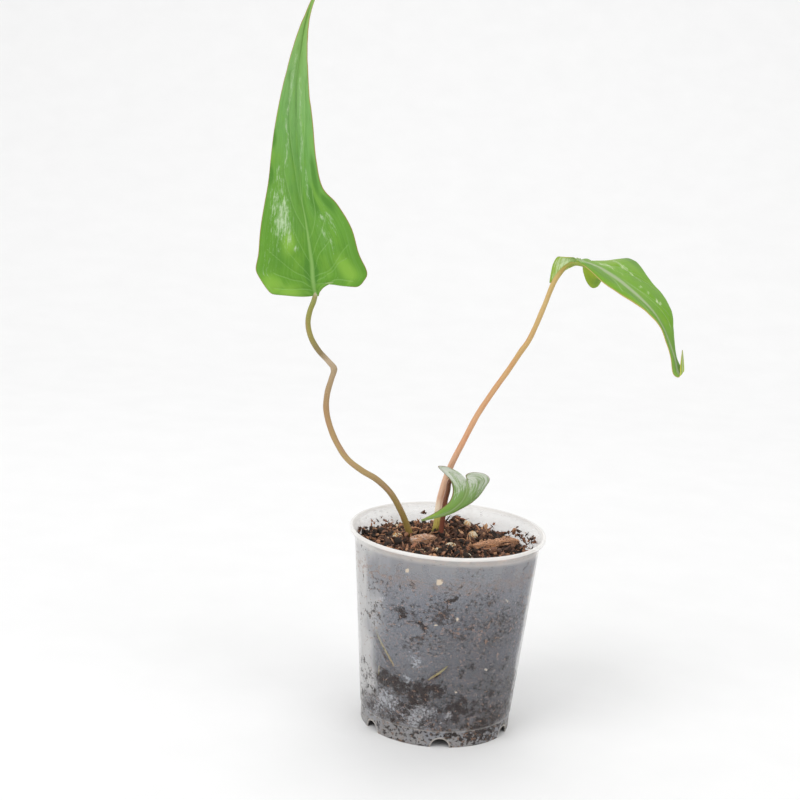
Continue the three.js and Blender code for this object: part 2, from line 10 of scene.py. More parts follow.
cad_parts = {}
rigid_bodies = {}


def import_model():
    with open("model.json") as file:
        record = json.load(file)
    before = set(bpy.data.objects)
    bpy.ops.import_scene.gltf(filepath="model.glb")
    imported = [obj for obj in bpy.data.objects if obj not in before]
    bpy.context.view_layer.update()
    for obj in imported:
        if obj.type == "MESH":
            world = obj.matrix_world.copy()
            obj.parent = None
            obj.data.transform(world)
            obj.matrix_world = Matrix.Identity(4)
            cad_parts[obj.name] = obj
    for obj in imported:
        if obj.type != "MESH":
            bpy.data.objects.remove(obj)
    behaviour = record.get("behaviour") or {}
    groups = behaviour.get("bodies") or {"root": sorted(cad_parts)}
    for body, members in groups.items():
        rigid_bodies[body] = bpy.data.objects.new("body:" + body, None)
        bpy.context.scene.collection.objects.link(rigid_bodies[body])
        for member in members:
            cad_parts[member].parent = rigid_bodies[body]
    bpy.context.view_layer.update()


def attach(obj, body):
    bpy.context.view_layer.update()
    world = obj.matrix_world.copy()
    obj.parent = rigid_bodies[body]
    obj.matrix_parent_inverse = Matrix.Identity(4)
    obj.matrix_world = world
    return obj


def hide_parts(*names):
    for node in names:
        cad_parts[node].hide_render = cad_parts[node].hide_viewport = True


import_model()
MM = 0.001

# The pot's driving dimensions
POT_HEIGHT = 108
RIM_RADIUS = 52.5
BASE_RADIUS = 40.3
NECK_RADIUS = 49.4
NECK_HEIGHT = 101.8
WALL = 0.9
SHOULDER_HEIGHT = 9
SHOULDER_STEP = 0.4
FLOOR = 1
FLOOR_FLAT_RADIUS = 27
CHANNEL_HEIGHT = 6
CHANNEL_INNER_RADIUS = 30.4
OUTLETS = 6
OUTLET_RADIUS = 5
OUTLET_BEAD = 0.25  # how far the thick edge round a notch stands out
OUTLET_BEAD_WIDTH = 1.1
OUTLET_BEAD_STEEPNESS = 3
DRAIN_RADIUS = 3
CUT_LENGTH = 10
CUT_SIDES = 48
FIRST_OUTLET = math.radians(-84.5)
LIP_STEPS = [
    # radius less the rim radius, height less the pot height: outside, over the top, then inside
    (-2.3, -4.8), (-0.8, -3), (0, -1.6), (-0.1, -0.5), (-0.6, 0),
    (-1.4, -0.1), (-1.9, -0.9), (-2.7, -2.6), (-3.6, -4.6),
]
LIP_STEPS_BETWEEN = 3
POT_SIDES = 288
POT_ROW = 1.05  # height of a row of faces on the wall
FLOOR_ROW = 4  # width of a ring of faces on the inside of the floor
MERGE_DISTANCE = 0.01
SHARP_ANGLE = 50  # the shading breaks at edges that are sharper than this, in degrees

# What shows on the wall: angle round the pot in degrees, height and radius of each patch
DAMP_PATCHES = [
    (-125, 34, 5), (-133, 33, 3.5), (-117, 33, 3.5), (-102, 32.5, 4.5), (-109, 22.5, 5), (-95, 30.5, 4),
    (-86, 35, 3.5), (-66, 23.5, 5), (-48, 30, 3.5), (-37, 17.5, 5), (-51, 11.5, 6), (-114, 19, 3.5),
    (-135, 11.5, 2.5), (-122, 10.5, 2.5), (-78, 22, 4), (-79, 7, 3.5), (-61, 5.5, 4), (-41, 4.5, 3.5),
    (-160, 17.5, 2.5), (-67, 46.5, 2), (-74, 43, 2), (-36, 47, 1.8), (-37, 42.5, 1.8), (-116, 73, 3),
    (-83, 84.5, 2), (-87, 83, 1.2), (-91, 80.5, 1.2), (-104, 70, 1.8), (-100, 66.5, 2), (-145, 65, 1.4),
    (170, 24, 6), (150, 38, 5), (128, 20, 6), (105, 31, 5), (84, 15, 5), (62, 36, 5), (40, 24, 6),
    (18, 12, 5), (2, 34, 5), (-14, 22, 5), (120, 66, 2.5), (71, 72, 2), (25, 61, 2.5), (165, 80, 2),
]
MINERAL_PATCHES = [
    (-124, 21.5, 5), (-132, 22.5, 3.5), (-105, 14, 5), (-101, 20.5, 2.5), (-110, 37, 2.5), (-105, 47.5, 3.5),
    (-133, 78, 2.5), (-139, 13, 3.5), (-80, 18.5, 2.5), (-92, 20, 2.5), (160, 30, 4), (110, 16, 5),
    (66, 24, 4), (30, 40, 3), (-8, 15, 4),
]
PATCH_SPREAD = 1.35  # the patches fade out this much wider than they are marked
DAMP_FOOT = ([0, 10, 14, 34, 46], [0.5, 0.5, 0.68, 0.5, 0])  # how damp the mix is at those heights
FLECKED = (  # how flecked the wall is at those heights
    [0, 8, 30, 45, 62, 76, 88, 96],
    [0.9, 0.9, 0.7, 0.5, 1, 0.9, 0.75, 0.4],
)
BARE_FADE = 5  # the height over which the wall clears above the edge of the mix
BARE_CLEAN = 0.6  # how much cleaner the wall is there
PAINTED_LIGHT_CLEAN = 0.5  # how much cleaner the wall is on a strip of painted light
PAINTED_SHADE_PATCH = (-64, 56, 30)  # angle, height and reach of a painted shade on the wall, to the right of its front
STAINED = (91, 5)  # height and reach of the band of tan stains below the top of the mix
# Painted light: paler strips down the wall, strongest at its left and right edges seen from the front; the
# two weaker ones at the back match them
PAINTED_LIGHT_STRIPS = [
    # angle and width in degrees, and strength
    (-167, 30, 1), (-6, 14, 0.8), (78, 12, 0.45), (128, 9, 0.4),
]
PAINTED_LIGHT_FOOT = ([6, 24], [0.3, 1])  # how strong the strips of painted light are at those heights
ROOT_WINDOW = 2.6  # the wall is clear where the middle of a root is nearer than this
ROOT_WINDOW_EDGE = 0.35  # how wide the edge of that place is
CREAM_SPOTS = [
    (-93, 93.5, 2.2), (-93, 69.5, 1), (-80, 73.7, 1.3), (-85, 73.4, 0.8), (-55, 43.4, 1.2), (-45, 81.5, 1.2),
    (-109, 77.5, 0.8), (-113, 97.5, 1.5), (-116, 85, 0.6), (-123, 68.7, 0.6), (-130, 72.7, 0.6),
    (-76, 32.2, 1), (140, 88, 1.4), (75, 52, 1.2), (12, 78, 1.3), (48, 90, 0.9),
]
SPOT_RAGGEDNESS = (1.6, 0.6)  # size of the bites in the edge of a cream spot and their depth
SPOT_EDGE = 0.7
WALL_REACH = 1.5  # what is no more than this inside the wall's inner face belongs to the wall
LIP_START = ([106, 106.8], [0, 1])  # how much of the lip's own colour shows at those heights
SHOULDER_HIGHLIGHT = (0.8, 0.35)  # how strong the painted highlight on the edge of the step above the foot is, and how far from the edge it reaches
FLOOR_TOP = CHANNEL_HEIGHT + 2  # what is lower than this and inside the wall belongs to the floor

# The mix
MIX_GAP = 0.35
MIX_LEVEL = 97
MIX_TILT = (-0.012, -0.03)
MIX_MOUNDS = [
    # x, y, height and width of the heaps, and of the dip at the back right
    (5, 14, 10.5, 12.5), (-20, 6, 3.8, 18), (29, 9, 4.4, 13), (2, -16, 3, 22), (45, 16, -5.5, 13),
]
MIX_DRIFT = 4.5  # how far the mix is drawn up the wall at the front
DRIFT_SIDES = 0.35  # the share of the drift that is left at the pot's sides
DRIFT_REACH = 38  # how far to the front the drift takes to grow by its whole height
RIM_START = 38  # radius where the drift and the smoother rim of the mix start
RIM_SMOOTHNESS = 0.85
MIX_SIDES = 300
MIX_TOP_RINGS = 110
MIX_MIDDLE = 0.004  # where the rings of the top end, as a share of its radius
MIX_FOOT_MIDDLE = 0.2  # where the rings of its underside start
MIX_ROW = 1.1
MIX_RELIEF = [(9, 2), (4, 2), (1.7, 1.1)]  # size of the lumps and how far they rise
MIX_RISE = 1.6  # how much the lumps are heightened
MIX_HOLLOW = 0.7  # how far the hollows between them go down
MIX_WALL_PITS = [(5, 0.7), (1.6, 0.5)]
BED_DEPTH = 0.5  # how deep the mix is pressed beneath the bark and the pumice
BARK_BED = 1.3  # how many times wider than the bark its bed is
PUMICE_BED = 1.5

PUMICE = [
    # x, y, radius
    (-26.4, -0.5, 2.6), (10.2, 13.5, 2.3), (13.6, 5.5, 2.5), (2.2, -9.6, 2.3),
    (24.5, -7.5, 2), (-4.4, -18, 1.6), (11.3, -22.2, 1.7),
]
PUMICE_PROPORTIONS = (1.1, 0.9, 0.8)
PUMICE_SHOWING = 0.35
BARK_STICK = {
    "points": [(14.3, -6.5), (20, -3), (26.5, 0.8), (33, 5), (38, 8.8)],
    "lift": [1.4, 1.7, 1.9, 3, 5.1],
    "radii": [2.2, 2.7, 2.8, 2.6, 2.1],
    "flatness": 0.55,
}
BARK_CHIP = {
    "points": [(-18.6, -9.5), (-15, -7.5), (-11, -5.5), (-6.8, -3.2)],
    "lift": [1.5, 1.9, 1.9, 1.5],
    "radii": [3.2, 4, 4.1, 3.2],
    "flatness": 0.5,
}

# The stem, the roots and the leaf stalks: points along the middle, and radii spread evenly along them
STEM = {
    "points": [(-25, 3, 90), (-17.5, 4.5, 88.5), (-11, 6.5, 89), (-7.5, 8, 93.5), (-7, 8, 101.5),
               (-6.2, 8.5, 108.5), (-6, 8.5, 116.5)],
    "radii": [2.6, 4, 4, 3, 2.1, 1.95, 1.8],
}
ROOTS = [
    [(-21, 2, 88), (-30, -9, 75), (-34, -21, 64.5), (-33.4, -26.2, 57), (-29.6, -30, 50.5),
     (-24.5, -33.5, 43.5), (-18, -33, 34)],
    [(-14, 4, 87), (-10, -10, 72), (0, -27, 58), (5.5, -38, 49), (3.4, -41.2, 44.4), (-3.7, -40.6, 38.1),
     (-12, -33, 28)],
    [(-16, 5, 87), (-25, -4, 70), (-28.5, -18, 48), (-30.9, -26.4, 36), (-29, -20, 25), (-20, -18, 15)],
    [(-9, 7, 89), (6, 1, 72), (22, -13, 56), (32, -18, 39), (29, -19, 22)],
    [(-9, 9, 89), (6, 20, 74), (18, 29, 56), (14, 33, 35), (4, 29, 18)],
    [(-18, 6, 88), (-24, 21, 72), (-30, 23, 52), (-23, 30, 35), (-14, 27, 20)],
    [(-13, 6, 87), (-10, 10, 66), (-4, 8, 44), (-10, 2, 25), (-17, -8, 14)],
]
WALL_ROOTS = 3  # the first roots lie against the wall for a stretch
ROOT_STEPS = 8  # points of a root's line for each of its given ones
ROOT_RADII = [1.3, 0.6, 0.6, 0.5]
ROOT_ROOM = 1.6  # the mix stands back from the wall this near to a root, and less so up to twice that
ROOT_HOLLOW = 1.5  # how far it stands back
PETIOLES = {
    "left": {
        "points": [
            (-17.5, 4.5, 90.5), (-18.5, 3, 97), (-20, 0.5, 102.5), (-22.5, -3, 110), (-26.5, -7, 119.5),
            (-32, -10, 128.5), (-39.5, -12, 135.5), (-47.5, -13, 140), (-55, -13.5, 145.5),
            (-61, -13.5, 153.5), (-65.5, -12.5, 162.5), (-68, -10.5, 171), (-68, -8.5, 179),
            (-66.5, -6.5, 186), (-65.5, -5.5, 191.5), (-68.5, -6.5, 195.5), (-74, -8.5, 201.5),
            (-78, -9.5, 208), (-80, -9, 215), (-79.5, -7.5, 221.5), (-77.8, -6.5, 227), (-77.1, -6, 231.4),
        ],
        "radii": [1.8, 1.6, 1.5, 1.35],
        "rings": [(14, 0.28, 1.2)],  # place counted in points, height and width of a raised scar
    },
    "right": {
        "points": [
            (-6, 8.5, 113), (-5.4, 8.5, 120), (-4.6, 8, 125), (-3.6, 7.5, 130.5), (-2.2, 7, 136.5),
            (0, 6, 143.5), (4.5, 5, 154.5), (11, 4, 170), (18.5, 3, 184), (25.5, 2, 196),
            (31, 1.5, 206), (35, 1, 213), (38.5, 0.5, 222.5), (42, 0, 233.5), (45, -0.5, 243.5),
            (48.3, -1.5, 250), (51.3, -3, 253.6), (54.2, -4.8, 255.2), (58, -7.5, 255.4), (62.5, -11, 254.4),
        ],
        "radii": [2.1, 2, 1.75, 1.55, 1.45, 1.4, 1.35, 1.3, 1.1, 0.5],
        "rings": [],
    },
    "small": {
        "points": [
            (-6, 6.5, 91), (-4.5, 4, 96.5), (-3.5, 2.5, 102), (-3.5, 2, 108), (-3, 0.5, 115.5),
            (-2.5, -1.5, 123.5), (-1.5, -3.5, 129.5), (-1, -5, 135), (1, -6, 137.5), (3.5, -7, 138),
            (5.5, -8.5, 138), (7.4, -10.3, 137.5),
        ],
        "radii": [1.4, 1.35, 1.3, 1.2, 1],
        "rings": [],
    },
}

# Each blade has a midrib and rays from it to both margins, from the sinus at its foot to the tip. A ray is
# its place along the midrib, counted in midrib points, its ends on the left and the right margin, seen from
# the upper side with the tip up, and how far it arches up on the left and the right.
# A vein, streak or patch is placed by side (0 left, 1 right), ray and share of the way to the margin.
# ridge is how far the rib stands out below at the foot and at the tip, rib_width is the width of the pale
# line over it there, and rib_fade is how much that line fades on its way. hem is how wide the coloured margin
# is on the left and on the right, and the ray it starts at. lobe_bow is how far the lobes' rays bend on each
# side. ripple_seed picks the waves of its surface.
BLADES = {
    "left": {
        "midrib": [
            (-77, -6, 230), (-78.5, -8, 239), (-80, -9, 248.5), (-82, -9.5, 258), (-84, -9.5, 267.5),
            (-86.5, -9, 277.5), (-88, -8, 288), (-90, -6.5, 299.5), (-91, -5, 311), (-92, -3, 322.5),
            (-93, -0.5, 334.5), (-92.5, 2.5, 346.5), (-92, 6, 358.5), (-90.5, 9.5, 370.5), (-87, 13.5, 382.5),
        ],
        "rays": [
            (0, (-78.5, -6.5, 229.5), (-75.5, -6.5, 229.5), 0, 0),
            (0.15, (-83.5, -8.5, 229), (-74.5, -8, 232.5), 0.3, 0.3),
            (0.35, (-91, -10.5, 229), (-71.5, -10.5, 236), 0.8, 0.6),
            (0.6, (-98.5, -12, 229.5), (-65.5, -12.5, 238.6), 1.2, 1),
            (0.9, (-102, -12.5, 232.5), (-59.5, -13, 236.6), 1.4, 1.5),
            (1.15, (-106, -13, 238), (-55.2, -12, 236.6), 1.6, 2.2),
            (1.4, (-108, -13, 242.5), (-52.5, -11, 239.5), 1.8, 2.8),
            (1.75, (-107, -13.5, 250.5), (-51, -10.5, 244.5), 2, 3),
            (2.3, (-106.5, -14, 262.5), (-55.5, -13, 254), 2, 2.8),
            (3, (-105, -14, 276), (-60, -14.5, 267), 2, 2.2),
            (3.8, (-103.5, -13.5, 289.5), (-68, -13.5, 278.5), 1.8, 1.6),
            (5, (-103, -12, 302), (-76, -13, 286.5), 1.2, 1),
            (6.3, (-102, -10, 316.5), (-80, -11.5, 300), 0.8, 0.6),
            (7.8, (-100, -6.2, 332), (-83.5, -8, 320), 0.4, 0.3),
            (9.5, (-97.5, -1, 348), (-87.5, -2, 342), 0.1, 0.1),
            (11.4, (-94.1, 4.6, 362.7), (-89.4, 4.8, 360.8), 0, 0),
            (12.9, (-90.8, 9.2, 373.8), (-88.6, 9.2, 372.2), 0, 0),
            (14, (-87.6, 13.5, 382.5), (-86.4, 13.5, 382.5), 0, 0),
        ],
        "ridge": (1.2, 0.1),
        "rib_width": (1.3, 0.3),
        "rib_fade": 3,
        "ripple_seed": 4,
        "hem": (0.3, 0.3, 0),
        "lobe_bow": (0.16, 0.16),
        "veins": [
            [(0, 2.76, 0.1), (0, 4.17, 0.25), (0, 4.72, 0.41), (0, 5.27, 0.53), (0, 5.91, 0.7)],
            [(0, 1.2, 0.02), (0, 2.6, 0.3), (0, 3.2, 0.55), (0, 3.9, 0.85)],
            [(0, 4.55, 0.03), (0, 6.29, 0.14), (0, 7.31, 0.32), (0, 7.74, 0.47), (0, 8.2, 0.61),
             (0, 8.5, 0.8)],
            [(0, 9.69, 0.04), (0, 9.95, 0.2), (0, 10.16, 0.34), (0, 10.5, 0.46), (0, 11.2, 0.62)],
            [(1, 9.18, 0.04), (1, 9.69, 0.19), (1, 10.16, 0.34), (1, 10.54, 0.46), (1, 11.2, 0.6)],
            [(1, 6.59, 0.04), (1, 7.65, 0.12), (1, 8.25, 0.22), (1, 8.63, 0.36), (1, 9, 0.55)],
            [(1, 4, 0.1), (1, 6.0, 0.26), (1, 6.67, 0.31), (1, 7.65, 0.53), (1, 7.95, 0.75)],
            [(1, 3.2, 0.1), (1, 3.44, 0.34), (1, 5.95, 0.46), (1, 6.08, 0.8)],
            [(0, 3.8, 0.04), (0, 5.4, 0.2), (0, 6.5, 0.4), (0, 7.1, 0.62), (0, 7.4, 0.85)],
            [(0, 7.4, 0.04), (0, 8.4, 0.2), (0, 9.2, 0.4), (0, 9.7, 0.6), (0, 10.2, 0.8)],
            [(1, 5.2, 0.05), (1, 6.4, 0.2), (1, 7.4, 0.4), (1, 8.2, 0.66), (1, 8.5, 0.85)],
            [(1, 8, 0.04), (1, 8.9, 0.2), (1, 9.6, 0.45), (1, 10, 0.65)],
            [(0, 11, 0.04), (0, 12, 0.25), (0, 13, 0.5), (0, 14, 0.75)],
            [(1, 11, 0.04), (1, 12, 0.25), (1, 13, 0.5), (1, 14, 0.75)],
        ],
        # The silvery patches and streaks are partly whitish residue and partly painted reflection
        "bloom": [
            # side, ray, share, radius in millimetres along and across, strength
            (0, 9.44, 0.8, 8, 3.4, 0.42), (0, 9.22, 0.63, 10, 4.4, 0.64), (0, 8.7, 0.49, 6, 2.6, 0.5),
            (0, 10.2, 0.7, 12, 4, 0.36), (0, 8.16, 0.32, 2, 1, 0.6), (1, 9.39, 0.42, 4, 2, 0.4),
            (1, 10.03, 0.54, 3, 1.6, 0.5), (1, 9.9, 0.71, 3, 1.4, 0.5), (1, 9.52, 0.68, 3, 1.4, 0.45),
            (1, 8.88, 0.53, 2.5, 1.2, 0.5), (0, 6.9, 0.85, 8, 4, 0.22), (0, 2.6, 0.85, 7, 3, 0.15),
        ],
        "streaks": [
            [(0, 14.6, 0.62), (0, 13.7, 0.6), (0, 12.75, 0.66), (0, 12.37, 0.54), (0, 11.8, 0.59),
             (0, 11.4, 0.58)],
            [(0, 11.1, 0.74), (0, 10.79, 0.81), (0, 10.3, 0.82)],
            [(1, 14.3, 0.38), (1, 13.86, 0.36), (1, 13.35, 0.3), (1, 12.8, 0.33), (1, 12.41, 0.19),
             (1, 12.1, 0.15)],
            [(1, 12, 0.44), (1, 11.77, 0.42), (1, 11.3, 0.38), (1, 11, 0.42)],
        ],
        # The dark patches are painted shade
        "dark": [(0, 11.56, 1, 5, 2.4), (0, 10.16, 0.98, 5, 1.8), (0, 6, 0.1, 9, 1.6), (1, 5.6, 0.08, 8, 1.4),
                 (1, 11.6, 0.8, 12, 2.6), (1, 10.4, 0.85, 6, 2), (1, 10.9, 0.5, 9, 2.6)],
        "young": [(1, 7.2, 0.68, 5, 4.5), (0, 8.3, 0.45, 5, 3.5), (0, 2.6, 0.7, 5, 9), (0, 4.2, 0.85, 5, 5)],
    },
    "right": {
        "midrib": [
            (55.5, -3.5, 257.6), (62.5, -8.5, 256.2), (69.5, -14.5, 253.5), (76, -20.5, 250.5),
            (82, -27, 247), (88, -33.5, 242.5), (93.5, -39.5, 237.5), (98, -44.5, 231.5),
            (101.5, -48.5, 225), (104.5, -51.5, 218.5), (106.5, -53.5, 212.3), (108.5, -54, 211.5),
            (108.5, -53.5, 216.5), (108, -52.5, 222.5),
        ],
        "rays": [
            (0, (58, -2.5, 257.9), (53.5, -4, 258.5), 0, 0),
            (0.1, (59.5, 3.5, 254), (53, -4, 258.4), 0.9, 0.2),
            (0.2, (61, 9, 248.5), (49.2, -2.5, 258.4), 3.2, 0.3),
            (0.3, (63, 11.5, 244), (46.2, -0.5, 257.9), 6, 0.4),
            (0.4, (66, 13.5, 241), (44.3, 0.8, 253.9), 7, 0.5),
            (0.5, (69, 16, 241.5), (43.7, 1.4, 249.6), 6, 0.6),
            (0.6, (71.5, 18.5, 245), (43.4, 1.4, 243.8), 4.2, 0.8),
            (0.72, (73.5, 18.5, 249), (45.4, 0.8, 248.6), 2, 1),
            (0.9, (76, 16.5, 253), (49, 0.8, 253.6), 0.8, 1),
            (1.2, (79.5, 12.5, 255.8), (51.6, -0.5, 255.9), 0.1, 0.8),
            (1.6, (83, 6.5, 258.4), (55.2, -3, 257), 0.1, 0.6),
            (2, (86, 2, 258), (59, -9, 255.4), 0.7, 0.6),
            (2.3, (88, -0.5, 256.5), (62.6, -15.5, 253.5), 0.9, 0.8),
            (3.1, (93, -8.5, 251), (68.5, -24, 249.5), 1.5, 1),
            (4.1, (97.5, -15.5, 246.5), (76.5, -32, 245.5), 1.4, 0.9),
            (5.1, (101.5, -23, 242), (83.5, -39, 242.5), 1.3, 0.8),
            (6, (103.5, -31, 237.5), (90.5, -45, 239), 1.1, 0.6),
            (7, (104.5, -38.5, 231), (96, -49, 233.5), 0.8, 0.4),
            (8, (105, -44.5, 224.5), (100, -52, 225.5), 0.5, 0.2),
            (9, (106, -49, 218.5), (102.5, -53.5, 219), 0.2, 0.1),
            (10, (108.4, -52, 214.2), (104.3, -55, 211.5), 0, 0),
            (11, (109.6, -53, 212.6), (107.4, -55.2, 210.2), 0, 0),
            (12, (109.2, -52.8, 216.7), (107.5, -54.2, 216.4), 0, 0),
            (13, (108.1, -52.4, 223), (107.9, -52.6, 223), 0, 0),
        ],
        "ridge": (1.1, 0.1),
        # On this blade the pale line over the rib is a painted highlight
        "rib_width": (1.9, 0.5),
        "rib_fade": 0,
        "ripple_seed": 5,
        "hem": (0, 0.3, 10.5),
        "lobe_bow": (0.16, -0.1),
        "veins": [
            [(0, 7.92, 0.03), (0, 11.02, 0.31), (0, 12.44, 0.51), (0, 13.15, 0.75), (0, 13.87, 0.95)],
            [(0, 12.71, 0.4), (0, 13.48, 0.7), (0, 14.37, 0.95)],
            [(0, 12.2, 0.05), (0, 14, 0.2), (0, 15.2, 0.45), (0, 16.2, 0.75)],
            [(0, 4.5, 0.1), (0, 5.5, 0.4), (0, 5.8, 0.8)],
            [(1, 11, 0.05), (1, 13, 0.3), (1, 14, 0.7)],
            [(1, 13.5, 0.05), (1, 15, 0.4), (1, 16, 0.8)],
            [(1, 3.2, 0.1), (1, 4, 0.4), (1, 4.6, 0.8)],
            [(0, 13.4, 0.1), (0, 15, 0.3), (0, 16.2, 0.5), (0, 17, 0.75)],
        ],
        "bloom": [
            # The two wide patches on the right side, at rays 3.4 and 4.2, are painted highlights
            (0, 12.2, 0.5, 12, 1, 0.6), (0, 10.2, 0.25, 10, 1, 0.6), (1, 4.2, 0.6, 9, 8, 0.6),
            (1, 3.4, 0.4, 5, 3, 0.55), (0, 14.04, 0.34, 1.6, 1, 0.6), (0, 14.53, 0.42, 1.6, 1, 0.5),
            (0, 15.3, 0.51, 2, 1, 0.6), (0, 15.46, 0.59, 1.6, 1, 0.7), (0, 16.95, 0.61, 2.5, 1, 0.5),
            (0, 19.8, 0.4, 8, 1, 0.6), (1, 20.4, 0.3, 4, 1.2, 0.6),
        ],
        "streaks": [[(1, 9.3, 0.1), (1, 8.9, 0.5), (1, 8.2, 0.9)]],
        # The dark patches are painted shade
        "dark": [(1, 12, 0.6, 14, 3.5), (1, 15, 0.5, 12, 3), (0, 9.5, 0.9, 12, 2), (0, 18.6, 0.5, 9, 4)],
        "young": [(1, 4.5, 0.8, 9, 6), (0, 4.5, 0.8, 12, 9), (0, 22.5, 0.5, 9, 5), (1, 22.5, 0.5, 9, 5)],
    },
    "small": {
        "midrib": [
            (8.25, -12, 138.25), (8.5, -14, 135.75), (8, -15.75, 132.25), (6.5, -17.25, 128.75),
            (3.5, -19, 125.5), (-0.5, -20.25, 122.75), (-6, -21.25, 120.25), (-14.25, -22, 117.75),
        ],
        "rays": [
            (0, (9, -11.5, 138.75), (7.25, -11.5, 138.75), 0, 0),
            (0.12, (7.25, -9.5, 140.25), (6, -10.5, 139.75), 0.2, 0.2),
            (0.25, (8.75, -7, 141), (1.75, -9, 142.5), 0.5, 0.5),
            (0.4, (12.5, -4.5, 141), (-3, -5.5, 143.5), 0.8, 0.9),
            (0.65, (17.5, -3, 139.75), (-7.5, -2, 142.25), 1, 1.2),
            (1.1, (19.75, -3.75, 137), (-4, -6.5, 139.75), 1.1, 1),
            (1.9, (16.25, -9.25, 131.75), (-0.5, -10.5, 137.25), 1, 0.8),
            (2.8, (12, -13.75, 128), (1, -14.25, 132.75), 0.8, 0.6),
            (3.8, (6.75, -17.25, 124.75), (-0.25, -17.5, 128), 0.5, 0.4),
            (4.9, (0.75, -20, 121.75), (-4, -19.5, 124.5), 0.3, 0.2),
            (6, (-6.25, -21.5, 119.5), (-9, -20.75, 121), 0.1, 0.1),
            (7, (-14, -22, 117.25), (-14.25, -22, 118.25), 0, 0),
        ],
        "ridge": (0.5, 0.1),
        "rib_width": (0.45, 0.25),
        "rib_fade": 0,
        "ripple_seed": 5,
        "hem": (0.6, 0.6, 0),
        "lobe_bow": (0.16, 0.16),
        "veins": [
            [(0, 4, 0.1), (0, 5, 0.4), (0, 5.6, 0.8)], [(0, 5, 0.05), (0, 6.5, 0.4), (0, 7.2, 0.8)],
            [(1, 4, 0.1), (1, 5, 0.4), (1, 5.6, 0.8)], [(1, 5, 0.05), (1, 6.5, 0.4), (1, 7.2, 0.8)],
        ],
        # The silvery patches are partly whitish residue and partly painted reflection
        "bloom": [
            (0, 3.6, 0.9, 6, 5, 0.7), (0, 4.2, 0.75, 6, 3.5, 0.5), (0, 2.2, 0.4, 6, 6, 0.7),
            (1, 3.6, 0.75, 7, 4, 0.75), (1, 2.2, 0.4, 6, 6, 0.75), (1, 4.6, 0.45, 7, 3, 0.5),
            (0, 5.6, 0.3, 6, 1.2, 0.45), (1, 5.4, 0.6, 5, 1, 0.4),
        ],
        "streaks": [],
        # The dark patches are painted shade
        "dark": [(1, 4.6, 0.95, 5, 1.3), (1, 5.6, 0.96, 5, 1.2), (1, 3.6, 0.97, 4, 1.1)],
        "young": [(0, 10.3, 0.5, 6, 4), (1, 10.3, 0.5, 6, 4)],
    },
}
BLADE_THICKNESS = 0.55
MARGIN_THICKNESS = 0.3
MARGIN_TAPER = 1.2  # how far from the margin the blade has its full thickness
BLADE_BOW = -0.14  # how far a ray bends to the tip, as a share of its length
LOBE_RAYS = 7  # over this many rays the bend of the lobes turns into that of the blade
SIDE_STEPS = 38  # steps from the midrib to a margin
STEP_CROWDING = 1.15  # over 1, the steps are shorter near the midrib
STEPS_PER_RAY = 15
MIDRIB_STEPS = 400
VEIN_STEPS = 6  # points of a vein for each of its marks
VEIN_DEPTH = 0.3
VEIN_WIDTH = 0.8
PILLOW = 0.35  # how far the blade rises between veins
PILLOW_REACH = 3.5
GROOVE_DEPTH = 0.3  # how deep the groove over the midrib is at the foot
GROOVE_END = 0.4  # how far up the midrib it ends
RIPPLE = [(14, 0.8), (6, 0.3)]  # size of the waves towards the margin and how far they rise
RELIEF_WIDTH = 8  # the relief is full where a side of the blade is wider than this
RIDGE_WIDTH = 1.1
RIDGE_FULL = 3  # the rib stands out fully where a side of the blade is wider than this
UNDER_VEIN = 0.25  # how far a vein stands out below
UNDER_VEIN_WIDTH = 0.5
CREASE_ROUNDS = 40  # rounds of smoothing that open the fold along the midrib
CREASE_REACH = 3
GRAIN_SPREAD = 1.2  # how far the blade's pattern is spread across it
GRAIN_SLANT = 0.35  # how far the pattern runs to the tip for each millimetre outwards
RIB_FADE_START = 0.3  # how far up the midrib its pale line starts to fade
STREAK_REACH = 1.2
STREAK_STRENGTH = 0.42
PATCH_END = 3  # a patch is cut off at this many times its length
HEM_WIDTH = 6  # the coloured margin is full where a side of the blade is wider than this


# Curves and noise
NUDGE = 1e-3  # the step, counted in points, that a curve's direction is taken over


def spline(points, places):
    """Points of the smooth curve through the given ones, at places counted in points."""
    given = np.asarray(points, float)
    last = len(given) - 1
    p = np.vstack([2 * given[0] - given[1], given, 2 * given[-1] - given[-2]])
    places = np.clip(np.atleast_1d(places).astype(float), 0, last)
    i = np.minimum(places.astype(int), last - 1)
    w = (places - i)[:, None]
    a, b, c, d = p[i], p[i + 1], p[i + 2], p[i + 3]
    return 0.5 * (2 * b + (c - a) * w + (2 * a - 5 * b + 4 * c - d) * w**2 + (3 * b - a - 3 * c + d) * w**3)


def directions(points, places):
    """The direction of the smooth curve at those places."""
    places = np.clip(places, NUDGE, len(points) - 1 - NUDGE)
    ahead = spline(points, places + NUDGE) - spline(points, places - NUDGE)
    return ahead / np.linalg.norm(ahead, axis=1, keepdims=True)


def spread(values, shares):
    """Values that are spread evenly from 0 to 1, read at the given shares."""
    return np.interp(shares, np.linspace(0, 1, len(values)), values)


def bell(away):
    """A soft bump that is 1 in its middle. How far away a place is, is counted in the bump's width."""
    return np.exp(-(away**2))


def lumps(points, layers, seed=0):
    """The sum of layers of smooth noise: each has a size in millimetres and a height."""
    total = np.zeros(len(points))
    for size, height in layers:
        shift = Vector((seed * 17.3, size * 5.1, seed * 3.7))
        total += height * np.array([noise.noise(Vector(p) / size + shift) for p in points])
    return total


def distance_to_line(points, line):
    """How far each point is from a line of straight pieces."""
    nearest = np.full(len(points), np.inf)
    for start, end in zip(line[:-1], line[1:]):
        along = end - start
        share = np.clip((points - start) @ along / max(along @ along, 1e-9), 0, 1)
        nearest = np.minimum(nearest, np.linalg.norm(points - start - share[:, None] * along, axis=1))
    return nearest


